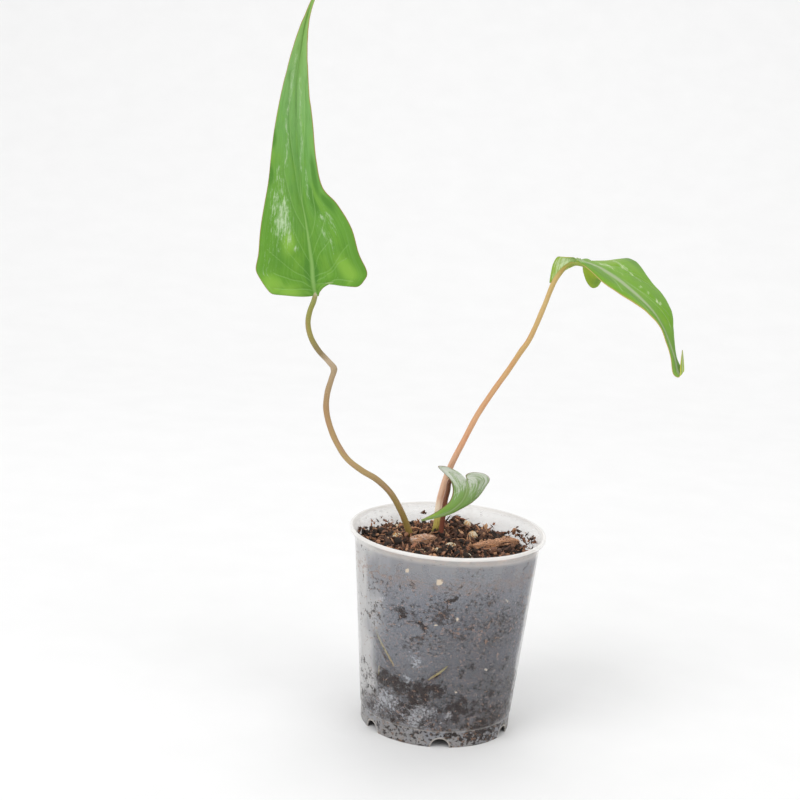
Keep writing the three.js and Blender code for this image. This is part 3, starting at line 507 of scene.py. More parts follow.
# Meshes
def grid_faces(rings, sides, closed=True):
    """Faces between rings of points. Closed joins the last point of a ring to the first."""
    i, k = np.meshgrid(np.arange(rings - 1), np.arange(sides if closed else sides - 1), indexing="ij")
    low = i * sides
    high = low + sides
    after = (k + 1) % sides
    return np.stack([low + k, low + after, high + after, high + k], axis=-1).reshape(-1, 4).tolist()


def store(mesh, values):
    """Keeps named numbers or vectors on a mesh, one for each point."""
    for name, column in values.items():
        column = np.asarray(column, np.float32)
        kind, field = ("FLOAT_VECTOR", "vector") if column.ndim == 2 else ("FLOAT", "value")
        mesh.attributes.new(name, kind, "POINT").data.foreach_set(field, column.ravel())


def coordinates(mesh):
    """The points of a mesh, in millimetres."""
    flat = np.zeros(len(mesh.vertices) * 3, np.float32)
    mesh.vertices.foreach_get("co", flat)
    return flat.reshape(-1, 3).astype(float) / MM


def make_mesh(name, points, faces, values=None):
    """A mesh in metres from points in millimetres, with values stored on it."""
    mesh = bpy.data.meshes.new(name)
    mesh.from_pydata((np.asarray(points) * MM).tolist(), [], faces)
    store(mesh, values or {})
    mesh.shade_smooth()
    return mesh


def place(name, mesh, material):
    """An object with that mesh in that one material."""
    piece = bpy.data.objects.new(name, mesh)
    bpy.context.scene.collection.objects.link(piece)
    mesh.materials.clear()
    mesh.materials.append(material)
    return piece


def finished(piece):
    """The piece's mesh with its modifiers applied."""
    graph = bpy.context.evaluated_depsgraph_get()
    return bpy.data.meshes.new_from_object(piece.evaluated_get(graph))


def join_parts(parts):
    """One set of points, faces and values from several."""
    points, faces, values = [], [], {}
    for more_points, more_faces, more_values in parts:
        faces += [[corner + len(points) for corner in face] for face in more_faces]
        points += list(more_points)
        for name, column in more_values.items():
            values.setdefault(name, []).append(column)
    return np.array(points), faces, {name: np.concatenate(columns) for name, columns in values.items()}


TUBE_STEPS = 40  # steps between two points of a tube when its length is measured
FEWEST_RINGS = 8
STEEP = 0.9  # a tube that starts out steeper than this takes its first side from x, and others from z
RELIEF_CORE = 0.5  # relief is eased off where a tube is thinner than this


def tube_faces(count, sides):
    """Faces round a tube and over its ends. The middles of the ends follow the points of its rings."""
    first = count * sides
    end = first + 1
    top = first - sides
    faces = grid_faces(count, sides)
    faces += [[first, (k + 1) % sides, k] for k in range(sides)]
    faces += [[end, top + k, top + (k + 1) % sides] for k in range(sides)]
    return faces


def tube(points, radii, sides=16, step=1.2, flatness=1, rings=(), relief=(), seed=0, stretch=1, square=1,
         tip=0.25):
    """A tapering round stalk with closed ends. Its relief can be stretched along it. Its section is squarer
    where square is less than 1, and its ends are blunter where tip is nearer to 1."""
    last = len(points) - 1
    dense = spline(points, np.linspace(0, last, TUBE_STEPS * last))
    length = np.linalg.norm(np.diff(dense, axis=0), axis=1).sum()
    count = max(int(length / step), FEWEST_RINGS)
    places = np.linspace(0, last, count)
    centres = spline(points, places)
    ahead = directions(points, places)
    across = np.array([0.0, 0, 1]) if abs(ahead[0][2]) <= STEEP else np.array([1.0, 0, 0])
    angle = np.arange(sides) / sides * 2 * math.pi
    shares = places / last
    radius = spread(radii, shares)
    for ring_place, height, width in rings:
        away = np.linalg.norm(centres - spline(points, [ring_place])[0], axis=1)
        radius = radius + height * bell(away / width)
    run = np.concatenate([[0], np.cumsum(np.linalg.norm(np.diff(centres, axis=0), axis=1))])
    rounding = np.sqrt(np.clip(np.minimum(run, run[-1] - run) / radius + tip, 0, 1))
    radius = radius * np.where(rounding < 1, rounding, 1)
    section = np.stack([np.cos(angle), np.sin(angle)])
    section = np.sign(section) * np.abs(section) ** square
    body, grain = [], []
    for i in range(count):
        across = across - across @ ahead[i] * ahead[i]
        across = across / np.linalg.norm(across)
        beside = np.cross(ahead[i], across)
        ring = np.outer(section[0] * flatness, across) + np.outer(section[1], beside)
        body.append(centres[i] + radius[i] * ring)
        around = np.stack([np.cos(angle), np.sin(angle), np.full(sides, run[i])], axis=1)
        grain.append(around * [radius[i], radius[i], 1])
    body = np.concatenate(body)
    if relief:
        middle = np.repeat(centres, sides, axis=0)
        out = body - middle
        reach = np.linalg.norm(out, axis=1, keepdims=True)
        rise = lumps(np.concatenate(grain) / [1, 1, stretch], relief, seed)[:, None]
        body = middle + out * (1 + rise / np.maximum(reach, RELIEF_CORE))
    body = np.vstack([body, centres[0], centres[-1]])
    grain = np.vstack([np.concatenate(grain), [0, 0, run[0]], [0, 0, run[-1]]])
    share = np.concatenate([np.repeat(run / run[-1], sides), [0, 1]])
    return body, tube_faces(count, sides), {"grain": grain, "share": share}


# Materials
def linear(code):
    """A colour in sRGB hex as the linear values that the shader takes."""
    channels = [int(code[i:i + 2], 16) / 255 for i in (1, 3, 5)]
    return [c / 12.92 if c <= 0.04045 else ((c + 0.055) / 1.055) ** 2.4 for c in channels] + [1]


def add(tree, kind, inputs=None, output=0, stops=(), **settings):
    """Adds a node with its settings and links, and gives one of its outputs. An input is a value, or the
    output that it is linked to. Stops are the places and colours of a colour ramp."""
    node = tree.nodes.new(kind)
    for name, value in settings.items():
        setattr(node, name, value)
    for name, value in (inputs or {}).items():
        if isinstance(value, bpy.types.NodeSocket):
            tree.links.new(value, node.inputs[name])
        else:
            node.inputs[name].default_value = value
    if stops:
        elements = node.color_ramp.elements
        while len(elements) < len(stops):
            elements.new(1)
        for element, (at, code) in zip(elements, stops):
            element.position = at
            element.color = linear(code)
    return node.outputs[output] if node.outputs else None


WAX_IOR = 1.42
POLYPROPYLENE_IOR = 1.49

# Inputs and outputs of the Mix node that are told apart by number alone
FACTOR, FIRST_NUMBER, SECOND_NUMBER, FIRST_COLOUR, SECOND_COLOUR = 0, 2, 3, 6, 7
MIXED_COLOUR = 2

# The same for the Random Value node
LEAST_VECTOR, MOST_VECTOR, LEAST_NUMBER, MOST_NUMBER = 0, 1, 2, 3
RANDOM_NUMBER = 1


def start_material(name, *stored):
    """An empty material with its tree and its shader, and after them what is stored on the mesh under those
    names: places for grain, and numbers for the others."""
    material = bpy.data.materials.new(name)
    material.use_nodes = True
    tree = material.node_tree
    tree.nodes.clear()
    surface = add(tree, "ShaderNodeBsdfPrincipled")
    add(tree, "ShaderNodeOutputMaterial", {"Surface": surface})
    found = []
    for key in stored:
        output = "Vector" if key == "grain" else "Fac"
        found.append(add(tree, "ShaderNodeAttribute", output=output, attribute_name=key))
    return material, tree, surface.node, *found


def grains(tree, where, *patterns):
    """Smooth patterns from 0 to 1. Each has the size of its grains along three axes, in millimetres, how many
    finer layers it holds, and how strong those are."""
    found = []
    for size, detail, strength in patterns:
        scaled = add(tree, "ShaderNodeVectorMath", {0: where, 1: [1 / s for s in size]}, operation="MULTIPLY")
        noise_inputs = {"Vector": scaled, "Scale": 1, "Detail": detail, "Roughness": strength}
        found.append(add(tree, "ShaderNodeTexNoise", noise_inputs))
    return found


def in_millimetres(tree):
    """Places on the object, in millimetres."""
    where = add(tree, "ShaderNodeTexCoord", output="Object")
    return add(tree, "ShaderNodeVectorMath", {0: where, 1: [1 / MM] * 3}, operation="MULTIPLY")


def layered(tree, ground, layers):
    """A colour or a number with layers of others over it. Each layer has the pattern that masks it, where the
    mask starts, where it is full, how strong it then is, and its colour or number."""
    for pattern, start, full, strength, value in layers:
        ends = {"Value": pattern, "From Min": start, "From Max": full, "To Max": strength}
        mask = add(tree, "ShaderNodeMapRange", ends, interpolation_type="SMOOTHSTEP")
        if isinstance(value, str):
            mix = {FACTOR: mask, FIRST_COLOUR: ground, SECOND_COLOUR: linear(value)}
            ground = add(tree, "ShaderNodeMix", mix, output=MIXED_COLOUR, data_type="RGBA")
        else:
            ground = add(tree, "ShaderNodeMix", {FACTOR: mask, FIRST_NUMBER: ground, SECOND_NUMBER: value})
    return ground


def weighted(tree, *terms):
    """The sum of patterns, each times its weight."""
    total = 0
    for pattern, weight in terms:
        total = add(tree, "ShaderNodeMath", {0: pattern, 1: weight, 2: total}, operation="MULTIPLY_ADD")
    return total


def dress(tree, shader, colour, roughness, height, depth):
    """Links a surface's colour, roughness and fine relief. The depth is in millimetres."""
    bump = add(tree, "ShaderNodeBump", {"Height": height, "Strength": 1, "Distance": depth * MM})
    for name, value in (("Base Color", colour), ("Roughness", roughness), ("Normal", bump)):
        tree.links.new(value, shader.inputs[name])


def leaf_blade(name, stops, colours):
    """Living leaf: a thin waxy skin over green tissue. It has a satin sheen, a paler rib and veins, silvery
    flecks that run with the veins, partly whitish residue and partly painted reflection, and a thin coloured
    margin. Its dark patches and the dark band beside the rib are painted shade."""
    material, tree, shader, grain, share, rib, edge, vein, hem, bloom, dark, young, under = start_material(
        name, "grain", "share", "rib", "edge", "vein", "hem", "bloom", "dark", "young", "under")
    # Real cells are about 0.05 mm wide. They are drawn ten times as coarse, so that they show.
    blotches, streaks, cells, fine_veins, dashes, powder = grains(
        tree, grain,
        ((6, 14, 1), 3, 0.5), ((0.8, 20, 1), 5, 0.6), ((0.5, 0.7, 1), 3, 0.5), ((0.6, 5, 1), 2, 0.5),
        ((0.7, 4.5, 1), 3, 0.6), ((0.8, 1.8, 1), 5, 0.75),
    )
    place_on_ramp = weighted(tree, (share, 1), (blotches, 0.3), (0.3, -0.5))
    ground = add(tree, "ShaderNodeValToRGB", {0: place_on_ramp}, stops=stops)
    silver = weighted(tree, (bloom, 0.75), (dashes, 1), (powder, 0.9))
    middle = weighted(tree, (share, 1), (rib, -0.09))
    colour = layered(tree, ground, [
        (middle, 0.2, 0.6, 0.4, colours["streak"]),
        (under, 0.4, 0.6, 0.9, colours["under"]),
        (streaks, 0.48, 0.72, 0.24, colours["streak"]),
        (streaks, 0.5, 0.3, 0.3, colours["dark"]),
        (blotches, 0.52, 0.66, 0.3, colours["dark"]),
        (blotches, 0.47, 0.34, 0.2, colours["young"]),
        (young, 0.1, 1, 0.8, colours["young"]),
        # Painted shade: the dark patches
        (dark, 0.2, 0.8, 0.8, colours["dark"]),
        (vein, 0.45, 0.05, 0.32, colours["vein"]),
        # Silvery flecks: partly whitish residue, partly painted reflection
        (silver, 1.13, 1.56, 0.85, colours["bloom"]),
        # Painted shade: a dark band along both sides of the rib
        (rib, 3, 1.1, 0.35, colours["dark"]),
        (rib, 1.3, 0.2, 0.7, colours["rib"]),
        (weighted(tree, (edge, 1), (hem, -1)), 0.1, -0.1, 0.75, colours["margin"]),
    ])
    roughness = layered(tree, 0.45, [
        (streaks, 0.3, 0.7, 1, 0.55),
        (silver, 1.1, 1.5, 1, 0.65),
        (under, 0, 1, 1, 0.65),
    ])
    dress(tree, shader, colour, roughness, weighted(tree, (cells, 1), (fine_veins, 1), (streaks, 1)), 0.06)
    shader.inputs["IOR"].default_value = WAX_IOR
    shader.inputs["Specular IOR Level"].default_value = 0.35
    shader.inputs["Subsurface Weight"].default_value = 0.05
    shader.inputs["Subsurface Radius"].default_value = (0.4, 0.8, 0.2)
    shader.inputs["Subsurface Scale"].default_value = MM
    return material


def leaf_stalk(name, stops, streak, fleck, blush):
    """Living stalk: smooth waxy skin over fibres. Its colour changes from the base to the blade, with fine
    streaks along it and tiny flecks across it."""
    material, tree, shader, grain, share = start_material(name, "grain", "share")
    # Real fibres are about 0.1 mm wide. They are drawn four times as coarse, so that they show.
    streaks, flecks, sides = grains(
        tree, grain, ((0.4, 0.4, 8), 4, 0.6), ((0.6, 0.6, 0.3), 2, 0.5), ((1.6, 1.6, 14), 2, 0.5))
    ground = add(tree, "ShaderNodeValToRGB", {0: share}, stops=stops)
    colour = layered(tree, ground, [
        (sides, 0.5, 0.7, 0.5, blush),
        (streaks, 0.5, 0.72, 0.5, streak),
        (flecks, 0.6, 0.7, 0.45, fleck),
    ])
    dress(tree, shader, colour, layered(tree, 0.38, [(streaks, 0.3, 0.7, 1, 0.52)]), streaks, 0.1)
    shader.inputs["IOR"].default_value = WAX_IOR
    return material


def stem_skin():
    """Young stem and roots: the shoot is smooth and yellow-green with rusty streaks, and the roots are matt
    and pale, olive where light reaches them."""
    material, tree, shader, grain, share, root = start_material(
        "stem and root skin", "grain", "share", "root")
    streaks, hairs = grains(tree, grain, ((0.45, 0.45, 6), 4, 0.6), ((0.3, 0.3, 0.8), 2, 0.5))
    shoot = add(tree, "ShaderNodeValToRGB", {0: share},
                stops=[(0, "#6b4a2c"), (0.6, "#8a7a3c"), (0.8, "#bcae54"), (0.93, "#d3c56e"), (1, "#e0d0a0")])
    shoot = layered(tree, shoot, [
        (streaks, 0.52, 0.66, 0.75, "#8f4f2c"),
        (streaks, 0.42, 0.3, 0.5, "#d9cf8e"),
    ])
    roots = add(tree, "ShaderNodeValToRGB", {0: share},
                stops=[(0.2, "#8f8748"), (0.55, "#a3983f"), (0.75, "#b9a552"), (1, "#c99a50")])
    roots = layered(tree, roots, [(hairs, 0.55, 0.7, 0.6, "#5f4a2c")])
    colour = add(tree, "ShaderNodeMix", {FACTOR: root, FIRST_COLOUR: shoot, SECOND_COLOUR: roots},
                 output=MIXED_COLOUR, data_type="RGBA")
    dress(tree, shader, colour, layered(tree, 0.42, [(root, 0, 1, 1, 0.8)]), hairs, 0.12)
    return material


def conifer_bark():
    """Milled conifer bark: dull, fibrous and reddish brown, with dark pores, pale broken fibres and a dusty
    bloom."""
    material, tree, shader, grain, bloom = start_material("milled conifer bark", "grain", "bloom")
    # Real fibres are about 0.04 mm wide. They are drawn about ten times as coarse, so that they show.
    fibres, pores, patches, lines = grains(
        tree, grain, ((0.35, 0.35, 4), 5, 0.65), ((0.5, 0.5, 0.8), 3, 0.6), ((1.6, 1.6, 2.2), 4, 0.6),
        ((0.25, 0.25, 6), 2, 0.5))
    ground = add(tree, "ShaderNodeValToRGB", {0: fibres},
                 stops=[(0.3, "#8a604a"), (0.45, "#c28f6f"), (0.56, "#dca983"), (0.7, "#f0cdaa")])
    colour = layered(tree, ground, [
        (patches, 0.54, 0.64, 0.6, "#d88e56"),
        (lines, 0.44, 0.36, 0.6, "#4a2b1e"),
        (pores, 0.44, 0.39, 0.9, "#35221a"),
        (weighted(tree, (bloom, 0.33), (patches, 0.9), (fibres, 0.4)), 0.98, 1.1, 0.75, "#d6d0ca"),
    ])
    relief = weighted(tree, (fibres, 1), (pores, 0.7))
    dress(tree, shader, colour, layered(tree, 0.8, [(fibres, 0.3, 0.7, 1, 0.95)]), relief, 0.5)
    return material


def volcanic_pumice():
    """Washed pumice: porous cream grains with small dark pits and rusty spots."""
    material, tree, shader = start_material("volcanic pumice")
    pits, rust = grains(tree, in_millimetres(tree), ((0.6, 0.6, 0.6), 2, 0.5), ((1.6, 1.6, 1.6), 3, 0.5))
    ground = add(tree, "ShaderNodeValToRGB", {0: pits},
                 stops=[(0.28, "#8f7a5c"), (0.42, "#dccbaa"), (0.7, "#f0e6d2")])
    colour = layered(tree, ground, [(rust, 0.51, 0.6, 0.85, "#c98a35"), (pits, 0.33, 0.27, 0.7, "#4a3626")])
    dress(tree, shader, colour, layered(tree, 0.85, [(pits, 0.3, 0.7, 1, 0.95)]), pits, 0.6)
    return material


def damp_mix():
    """Damp peat and fine bark: near black where it is wet, brown where it dries, with single rusty bits."""
    material, tree, shader = start_material("damp bark mix")
    clods, patches, bits = grains(
        tree, in_millimetres(tree), ((1.3, 1.3, 1.3), 5, 0.6), ((6, 6, 6), 3, 0.5), ((1.5, 1.5, 0.8), 1, 0.5))
    ground = add(tree, "ShaderNodeValToRGB", {0: clods},
                 stops=[(0.34, "#1c1511"), (0.5, "#433128"), (0.7, "#7d5845")])
    colour = layered(tree, ground, [(patches, 0.5, 0.7, 0.5, "#54403a"), (bits, 0.64, 0.7, 0.8, "#a87a58")])
    dress(tree, shader, colour, layered(tree, 0.75, [(clods, 0.3, 0.7, 1, 0.95)]), clods, 1.2)
    return material


def loose_litter(name, stops):
    """Loose crumbs, fibres and flakes of the mix, each with its own tone."""
    material, tree, shader, tone = start_material(name, "tone")
    (spots,) = grains(tree, in_millimetres(tree), ((0.5, 0.5, 0.5), 3, 0.5))
    ground = add(tree, "ShaderNodeValToRGB", {0: tone}, stops=stops)
    colour = layered(tree, ground, [(spots, 0.5, 0.7, 0.5, "#241a15")])
    dress(tree, shader, colour, layered(tree, 0.72, [(spots, 0.3, 0.7, 1, 0.95)]), spots, 0.3)
    return material


def frosted_polypropylene():
    """Injection moulded natural polypropylene: thin, milky and slightly blue over the dark mix. Damp mix that
    touches the wall shows dark and ragged, and dried water leaves white and tan marks."""
    material, tree, shader, *marks = start_material(
        "frosted polypropylene", "damp", "mineral", "cream", "root", "dry", "bare", "dense", "flecked",
        "stained", "lip", "notch", "floor")
    damp, mineral, cream, root, dry, bare, dense, flecked, stained, lip, notch, floor = marks
    where = in_millimetres(tree)
    height = add(tree, "ShaderNodeSeparateXYZ", {0: where}, output="Z")
    haze, dirt, chalk, flecks, clusters, stains, tan = grains(
        tree, where,
        ((12, 12, 22), 3, 0.5), ((3.8, 3.8, 3.2), 9, 0.78), ((2, 2, 1.7), 6, 0.75),
        ((1.9, 1.9, 1.5), 4, 0.62), ((13, 13, 9), 4, 0.6), ((2.6, 2.6, 1.7), 4, 0.65),
        ((2.1, 2.1, 1.6), 3, 0.6),
    )
    # The colours of the wall from its foot to its lip, with the haze shifting them a little
    place_on_ramp = weighted(tree, (height, 1 / POT_HEIGHT), (haze, 0.04), (0.04, -0.5))
    base = add(tree, "ShaderNodeValToRGB", {0: place_on_ramp}, stops=[
        (0.03, "#a09e9d"), (0.14, "#8b8c91"), (0.3, "#8b9097"), (0.45, "#a0a5ae"), (0.65, "#a1a7b1"),
        (0.8, "#a2a6af"), (0.9, "#aeb0b5"), (0.97, "#bcbdc0"),
    ])
    # What changes both the colour and the opacity: its pattern, where its mask starts and where it is full
    wet = (weighted(tree, (damp, 0.2), (dirt, 1)), 0.64, 0.665)
    powder = (weighted(tree, (mineral, 0.17), (flecked, 0.04), (chalk, 1)), 0.645, 0.76)
    crumbs = (weighted(tree, (clusters, 0.5), (flecks, 0.9), (flecked, 0.15)), 0.875, 0.925)
    tan_spots = (weighted(tree, (flecked, 0.12), (tan, 1)), 0.69, 0.76)
    # The paler wall is partly a milky haze that varies at random and partly the painted light of the strips
    pale = (weighted(tree, (dry, 1), (haze, 1.1)), 0.68, 1.32)
    cream_spots = (cream, 0.3, 0.8)
    thick_edge_and_step_highlight = (notch, 0.3, 0.9)
    underside = (floor, 0.4, 0.6)
    rolled_lip = (lip, 0.1, 0.9)
    band = weighted(tree, (stained, 0.12), (stains, 1))
    colour = layered(tree, base, [
        (haze, 0.48, 0.66, 0.28, "#7d8799"),
        (haze, 0.48, 0.34, 0.3, "#aab0ba"),
        # Painted shade on the wall, to the right of its front
        (dense, 0, 1, 0.5, "#696b71"),
        # Painted light, with the random haze: the pale strips down the wall
        (*pale, 0.9, "#dedddc"),
        (bare, 0.1, 0.7, 0.9, "#f4f2ef"),
        (band, 0.6, 0.7, 0.7, "#b3998a"),
        (*crumbs, 0.88, "#352a25"),
        (*wet, 0.95, "#2f2522"),
        (*tan_spots, 0.75, "#a5826c"),
        (*powder, 0.7, "#cbccd0"),
        (*cream_spots, 0.95, "#d9c8b2"),
        # The pale edge round each notch is the thicker plastic there; the pale line along the step above the
        # foot is a painted highlight
        (*thick_edge_and_step_highlight, 0.8, "#c2bcb4"),
        # The floor and the channel under it are near black: partly the dark mix seen through the thin floor,
        # partly painted shade inside the channel and the notches
        (*underside, 0.9, "#2b2421"),
        (*rolled_lip, 1, "#f6f4f1"),
    ])
    opacity = layered(tree, 0.75, [
        (height, 8.5, 12, 1, 0.3),
        (height, 40, 75, 1, 0.36),
        (height, 75, 90, 1, 0.42),
        (bare, 0, 1, 1, 0.3),
        (*pale, 1, 0.6),
        (*crumbs, 1, 0.62),
        (*wet, 1, 0.6),
        (*tan_spots, 1, 0.6),
        (*powder, 1, 0.6),
        (root, 0, 0.6, 1, 0.03),
        (*cream_spots, 1, 0.8),
        (*thick_edge_and_step_highlight, 1, 0.8),
        (*underside, 1, 1.0),
        (*rolled_lip, 1, 0.7),
    ])
    tree.links.new(opacity, shader.inputs["Alpha"])
    dress(tree, shader, colour, layered(tree, 0.28, [(dirt, 0.3, 0.7, 1, 0.42)]), haze, 0.05)
    shader.inputs["IOR"].default_value = POLYPROPYLENE_IOR
    return material


def matt_paper():
    """Matt studio paper, pale and without sheen."""
    material, tree, shader = start_material("matt studio paper")
    (fibres,) = grains(tree, in_millimetres(tree), ((40, 40, 40), 3, 0.5))
    colour = add(tree, "ShaderNodeValToRGB", {0: fibres}, stops=[(0.3, "#f1f1f1"), (0.7, "#f3f3f3")])
    dress(tree, shader, colour, layered(tree, 0.95, [(fibres, 0, 1, 1, 1.0)]), fibres, 0.01)
    shader.inputs["Specular IOR Level"].default_value = 0
    return material


# Pieces
def belongs(piece, slot, *nodes):
    """The piece rides on the one body and stands for those nodes. The slot is not used."""
    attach(piece, "root")
    if nodes:
        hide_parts(*nodes)


def inner_radius(z):
    """The radius of the wall's inner face at a height."""
    share = (np.asarray(z) - SHOULDER_HEIGHT) / (NECK_HEIGHT - SHOULDER_HEIGHT)
    return BASE_RADIUS + SHOULDER_STEP + (NECK_RADIUS - BASE_RADIUS - SHOULDER_STEP) * share - WALL


def stepped(corners, step):
    """The points of an outline with straight stretches, at most a step apart."""
    outline = [corners[0]]
    for start, end in zip(corners[:-1], corners[1:]):
        count = max(1, math.ceil(math.dist(start, end) / step))
        for k in range(1, count + 1):
            outline.append(tuple(np.interp(k / count, [0, 1], pair) for pair in zip(start, end)))
    return outline


def pot_outline():
    """Radius and height from the middle of the base, up the outside, over the lip and down the inside."""
    neck_inside = (NECK_RADIUS - WALL, NECK_HEIGHT)
    channel = BASE_RADIUS - WALL
    foot = stepped([(0, 0), (FLOOR_FLAT_RADIUS, 0), (CHANNEL_INNER_RADIUS, CHANNEL_HEIGHT),
                    (channel, CHANNEL_HEIGHT), (channel, 0), (BASE_RADIUS, 0),
                    (BASE_RADIUS + SHOULDER_STEP, SHOULDER_HEIGHT)], POT_ROW / 2)
    wall = stepped([(BASE_RADIUS + 2 * SHOULDER_STEP, SHOULDER_HEIGHT + SHOULDER_STEP),
                    (NECK_RADIUS, NECK_HEIGHT)], POT_ROW)
    lip = [(RIM_RADIUS + r, POT_HEIGHT + z) for r, z in LIP_STEPS]
    places = np.linspace(0, len(lip) - 1, LIP_STEPS_BETWEEN * (len(lip) - 1) + 1)
    lip = [tuple(p) for p in spline(lip, places)]
    raised = CHANNEL_HEIGHT + FLOOR
    inside = stepped([neck_inside, (inner_radius(SHOULDER_HEIGHT), SHOULDER_HEIGHT)], POT_ROW)
    floor = stepped([(inner_radius(SHOULDER_HEIGHT) - SHOULDER_STEP, raised),
                     (CHANNEL_INNER_RADIUS - FLOOR / 2, raised), (FLOOR_FLAT_RADIUS - FLOOR, FLOOR),
                     (0, FLOOR)], FLOOR_ROW)
    return foot + wall + lip + inside + floor


def cutters(name, radius, turn, at):
    """Round bars that cut the notches or the drain holes, one for each outlet."""
    form = bmesh.new()
    for i in range(OUTLETS):
        spin = Matrix.Rotation(FIRST_OUTLET + i / OUTLETS * 2 * math.pi, 4, "Z")
        where = spin @ Matrix.Translation(Vector(at) * MM) @ turn
        bmesh.ops.create_cone(form, cap_ends=True, segments=CUT_SIDES, radius1=radius * MM,
                              radius2=radius * MM, depth=CUT_LENGTH * MM, matrix=where)
    mesh = bpy.data.meshes.new(name)
    form.to_mesh(mesh)
    form.free()
    return place(name, mesh, None)


def wall_distance(points, angle, height):
    """How far points on the wall are from a place on it, measured along the wall."""
    turn = np.arctan2(points[:, 1], points[:, 0]) - math.radians(angle)
    turn = (turn + math.pi) % (2 * math.pi) - math.pi
    return np.hypot(turn * np.hypot(points[:, 0], points[:, 1]), points[:, 2] - height)


def notch_distance(points):
    """How far points on the wall are from the middle of the notch that is nearest to them."""
    angles = [math.degrees(FIRST_OUTLET) + i * 360 / OUTLETS for i in range(OUTLETS)]
    return np.min([wall_distance(points, angle, 0) for angle in angles], axis=0)


def root_distance(points):
    """How far points are from the middle of the nearest root that lies against the wall."""
    away = []
    for root in ROOTS[:WALL_ROOTS]:
        line = spline(root, np.linspace(0, len(root) - 1, ROOT_STEPS * len(root)))
        away.append(distance_to_line(points, line))
    return np.min(away, axis=0)


def wall_marks(points):
    """Numbers from 0 to 1 for what shows on the pot at each of its points."""
    reach = np.hypot(points[:, 0], points[:, 1])
    height = points[:, 2]
    on_wall = reach > inner_radius(height) - WALL_REACH
    marks = {}
    for name, patches in (("damp", DAMP_PATCHES), ("mineral", MINERAL_PATCHES)):
        fields = [bell(wall_distance(points, a, z) / (PATCH_SPREAD * r)) for a, z, r in patches]
        marks[name] = np.minimum(np.sum(fields, axis=0), 1) * on_wall
    marks["damp"] = np.maximum(marks["damp"], np.interp(height, *DAMP_FOOT) * on_wall)
    ragged = lumps(points, [SPOT_RAGGEDNESS], seed=3)
    spots = [(r + ragged - wall_distance(points, a, z)) / SPOT_EDGE for a, z, r in CREAM_SPOTS]
    marks["cream"] = np.clip(np.max(spots, axis=0), 0, 1) * on_wall
    around = np.degrees(np.arctan2(points[:, 1], points[:, 0]))
    # Painted light: the pale strips down the wall, fading towards the foot
    strips = [most * bell(((around - at + 180) % 360 - 180) / wide) for at, wide, most in PAINTED_LIGHT_STRIPS]
    marks["dry"] = np.max(strips, axis=0) * np.interp(height, *PAINTED_LIGHT_FOOT)
    marks["root"] = np.clip((ROOT_WINDOW - root_distance(points)) / ROOT_WINDOW_EDGE, 0, 1)
    above_mix = height - mix_height(points[:, 0], points[:, 1])
    marks["bare"] = np.clip(above_mix / BARE_FADE + 0.5, 0, 1) * on_wall
    clean = (1 - BARE_CLEAN * marks["bare"]) * (1 - PAINTED_LIGHT_CLEAN * marks["dry"])
    marks["flecked"] = np.interp(height, *FLECKED) * on_wall * clean
    # Painted shade on the wall, to the right of its front
    marks["dense"] = bell(wall_distance(points, *PAINTED_SHADE_PATCH[:2]) / PAINTED_SHADE_PATCH[2]) * on_wall
    marks["stained"] = bell((height - STAINED[0]) / STAINED[1]) * on_wall
    marks["lip"] = np.interp(height, *LIP_START)
    marks["floor"] = ((reach < BASE_RADIUS - WALL / 2) & (height < FLOOR_TOP)).astype(float)
    bead = bell((notch_distance(points) - OUTLET_RADIUS) / OUTLET_BEAD_WIDTH) * (height < SHOULDER_HEIGHT)
    # The pale line along the step above the foot is a painted highlight
    shoulder = SHOULDER_HIGHLIGHT[0] * bell((height - SHOULDER_HEIGHT) / SHOULDER_HIGHLIGHT[1]) * on_wall
    marks["notch"] = np.maximum(bead, shoulder) * (1 - marks["floor"])
    return marks


def make_pot(material):
    """The pot: a turned shell with a thick edge round each notch, and the notches and drain holes cut out."""
    outline = np.array(pot_outline())
    angle = np.arange(POT_SIDES) / POT_SIDES * 2 * math.pi
    points = np.stack([np.outer(outline[:, 0], np.cos(angle)), np.outer(outline[:, 0], np.sin(angle)),
                       np.repeat(outline[:, 1:], POT_SIDES, axis=1)], axis=-1).reshape(-1, 3)
    reach = np.hypot(points[:, 0], points[:, 1])
    outside = (reach > BASE_RADIUS - WALL / 2) & (points[:, 2] < SHOULDER_HEIGHT)
    away = (notch_distance(points) - OUTLET_RADIUS - OUTLET_BEAD_WIDTH / 2) / OUTLET_BEAD_WIDTH
    rise = np.where(outside, OUTLET_BEAD * np.exp(-(away**2) * OUTLET_BEAD_STEEPNESS), 0)
    points[:, :2] *= (1 + rise / np.maximum(reach, 1))[:, None]
    mesh = make_mesh("pot", points, grid_faces(len(outline), POT_SIDES))
    form = bmesh.new()
    form.from_mesh(mesh)
    bmesh.ops.remove_doubles(form, verts=form.verts, dist=MERGE_DISTANCE * MM)
    bmesh.ops.recalc_face_normals(form, faces=form.faces)
    form.to_mesh(mesh)
    form.free()
    raw = place("pot_raw", mesh, material)
    across = Matrix.Rotation(math.pi / 2, 4, "Y")
    bars = [cutters("notches", OUTLET_RADIUS, across, (BASE_RADIUS, 0, 0)),
            cutters("drains", DRAIN_RADIUS, Matrix.Identity(4),
                    ((CHANNEL_INNER_RADIUS + BASE_RADIUS) / 2, 0, CHANNEL_HEIGHT))]
    for bar in bars:
        cut = raw.modifiers.new("cut", "BOOLEAN")
        cut.operation = "DIFFERENCE"
        cut.solver = "MANIFOLD"
        cut.object = bar
    mesh = finished(raw)
    mesh.name = "pot"
    for helper in [raw, *bars]:
        bpy.data.objects.remove(helper)
    store(mesh, wall_marks(coordinates(mesh)))
    mesh.set_sharp_from_angle(angle=math.radians(SHARP_ANGLE))
    belongs(place("clear_pot", mesh, material), "clear_polypropylene", "pot")


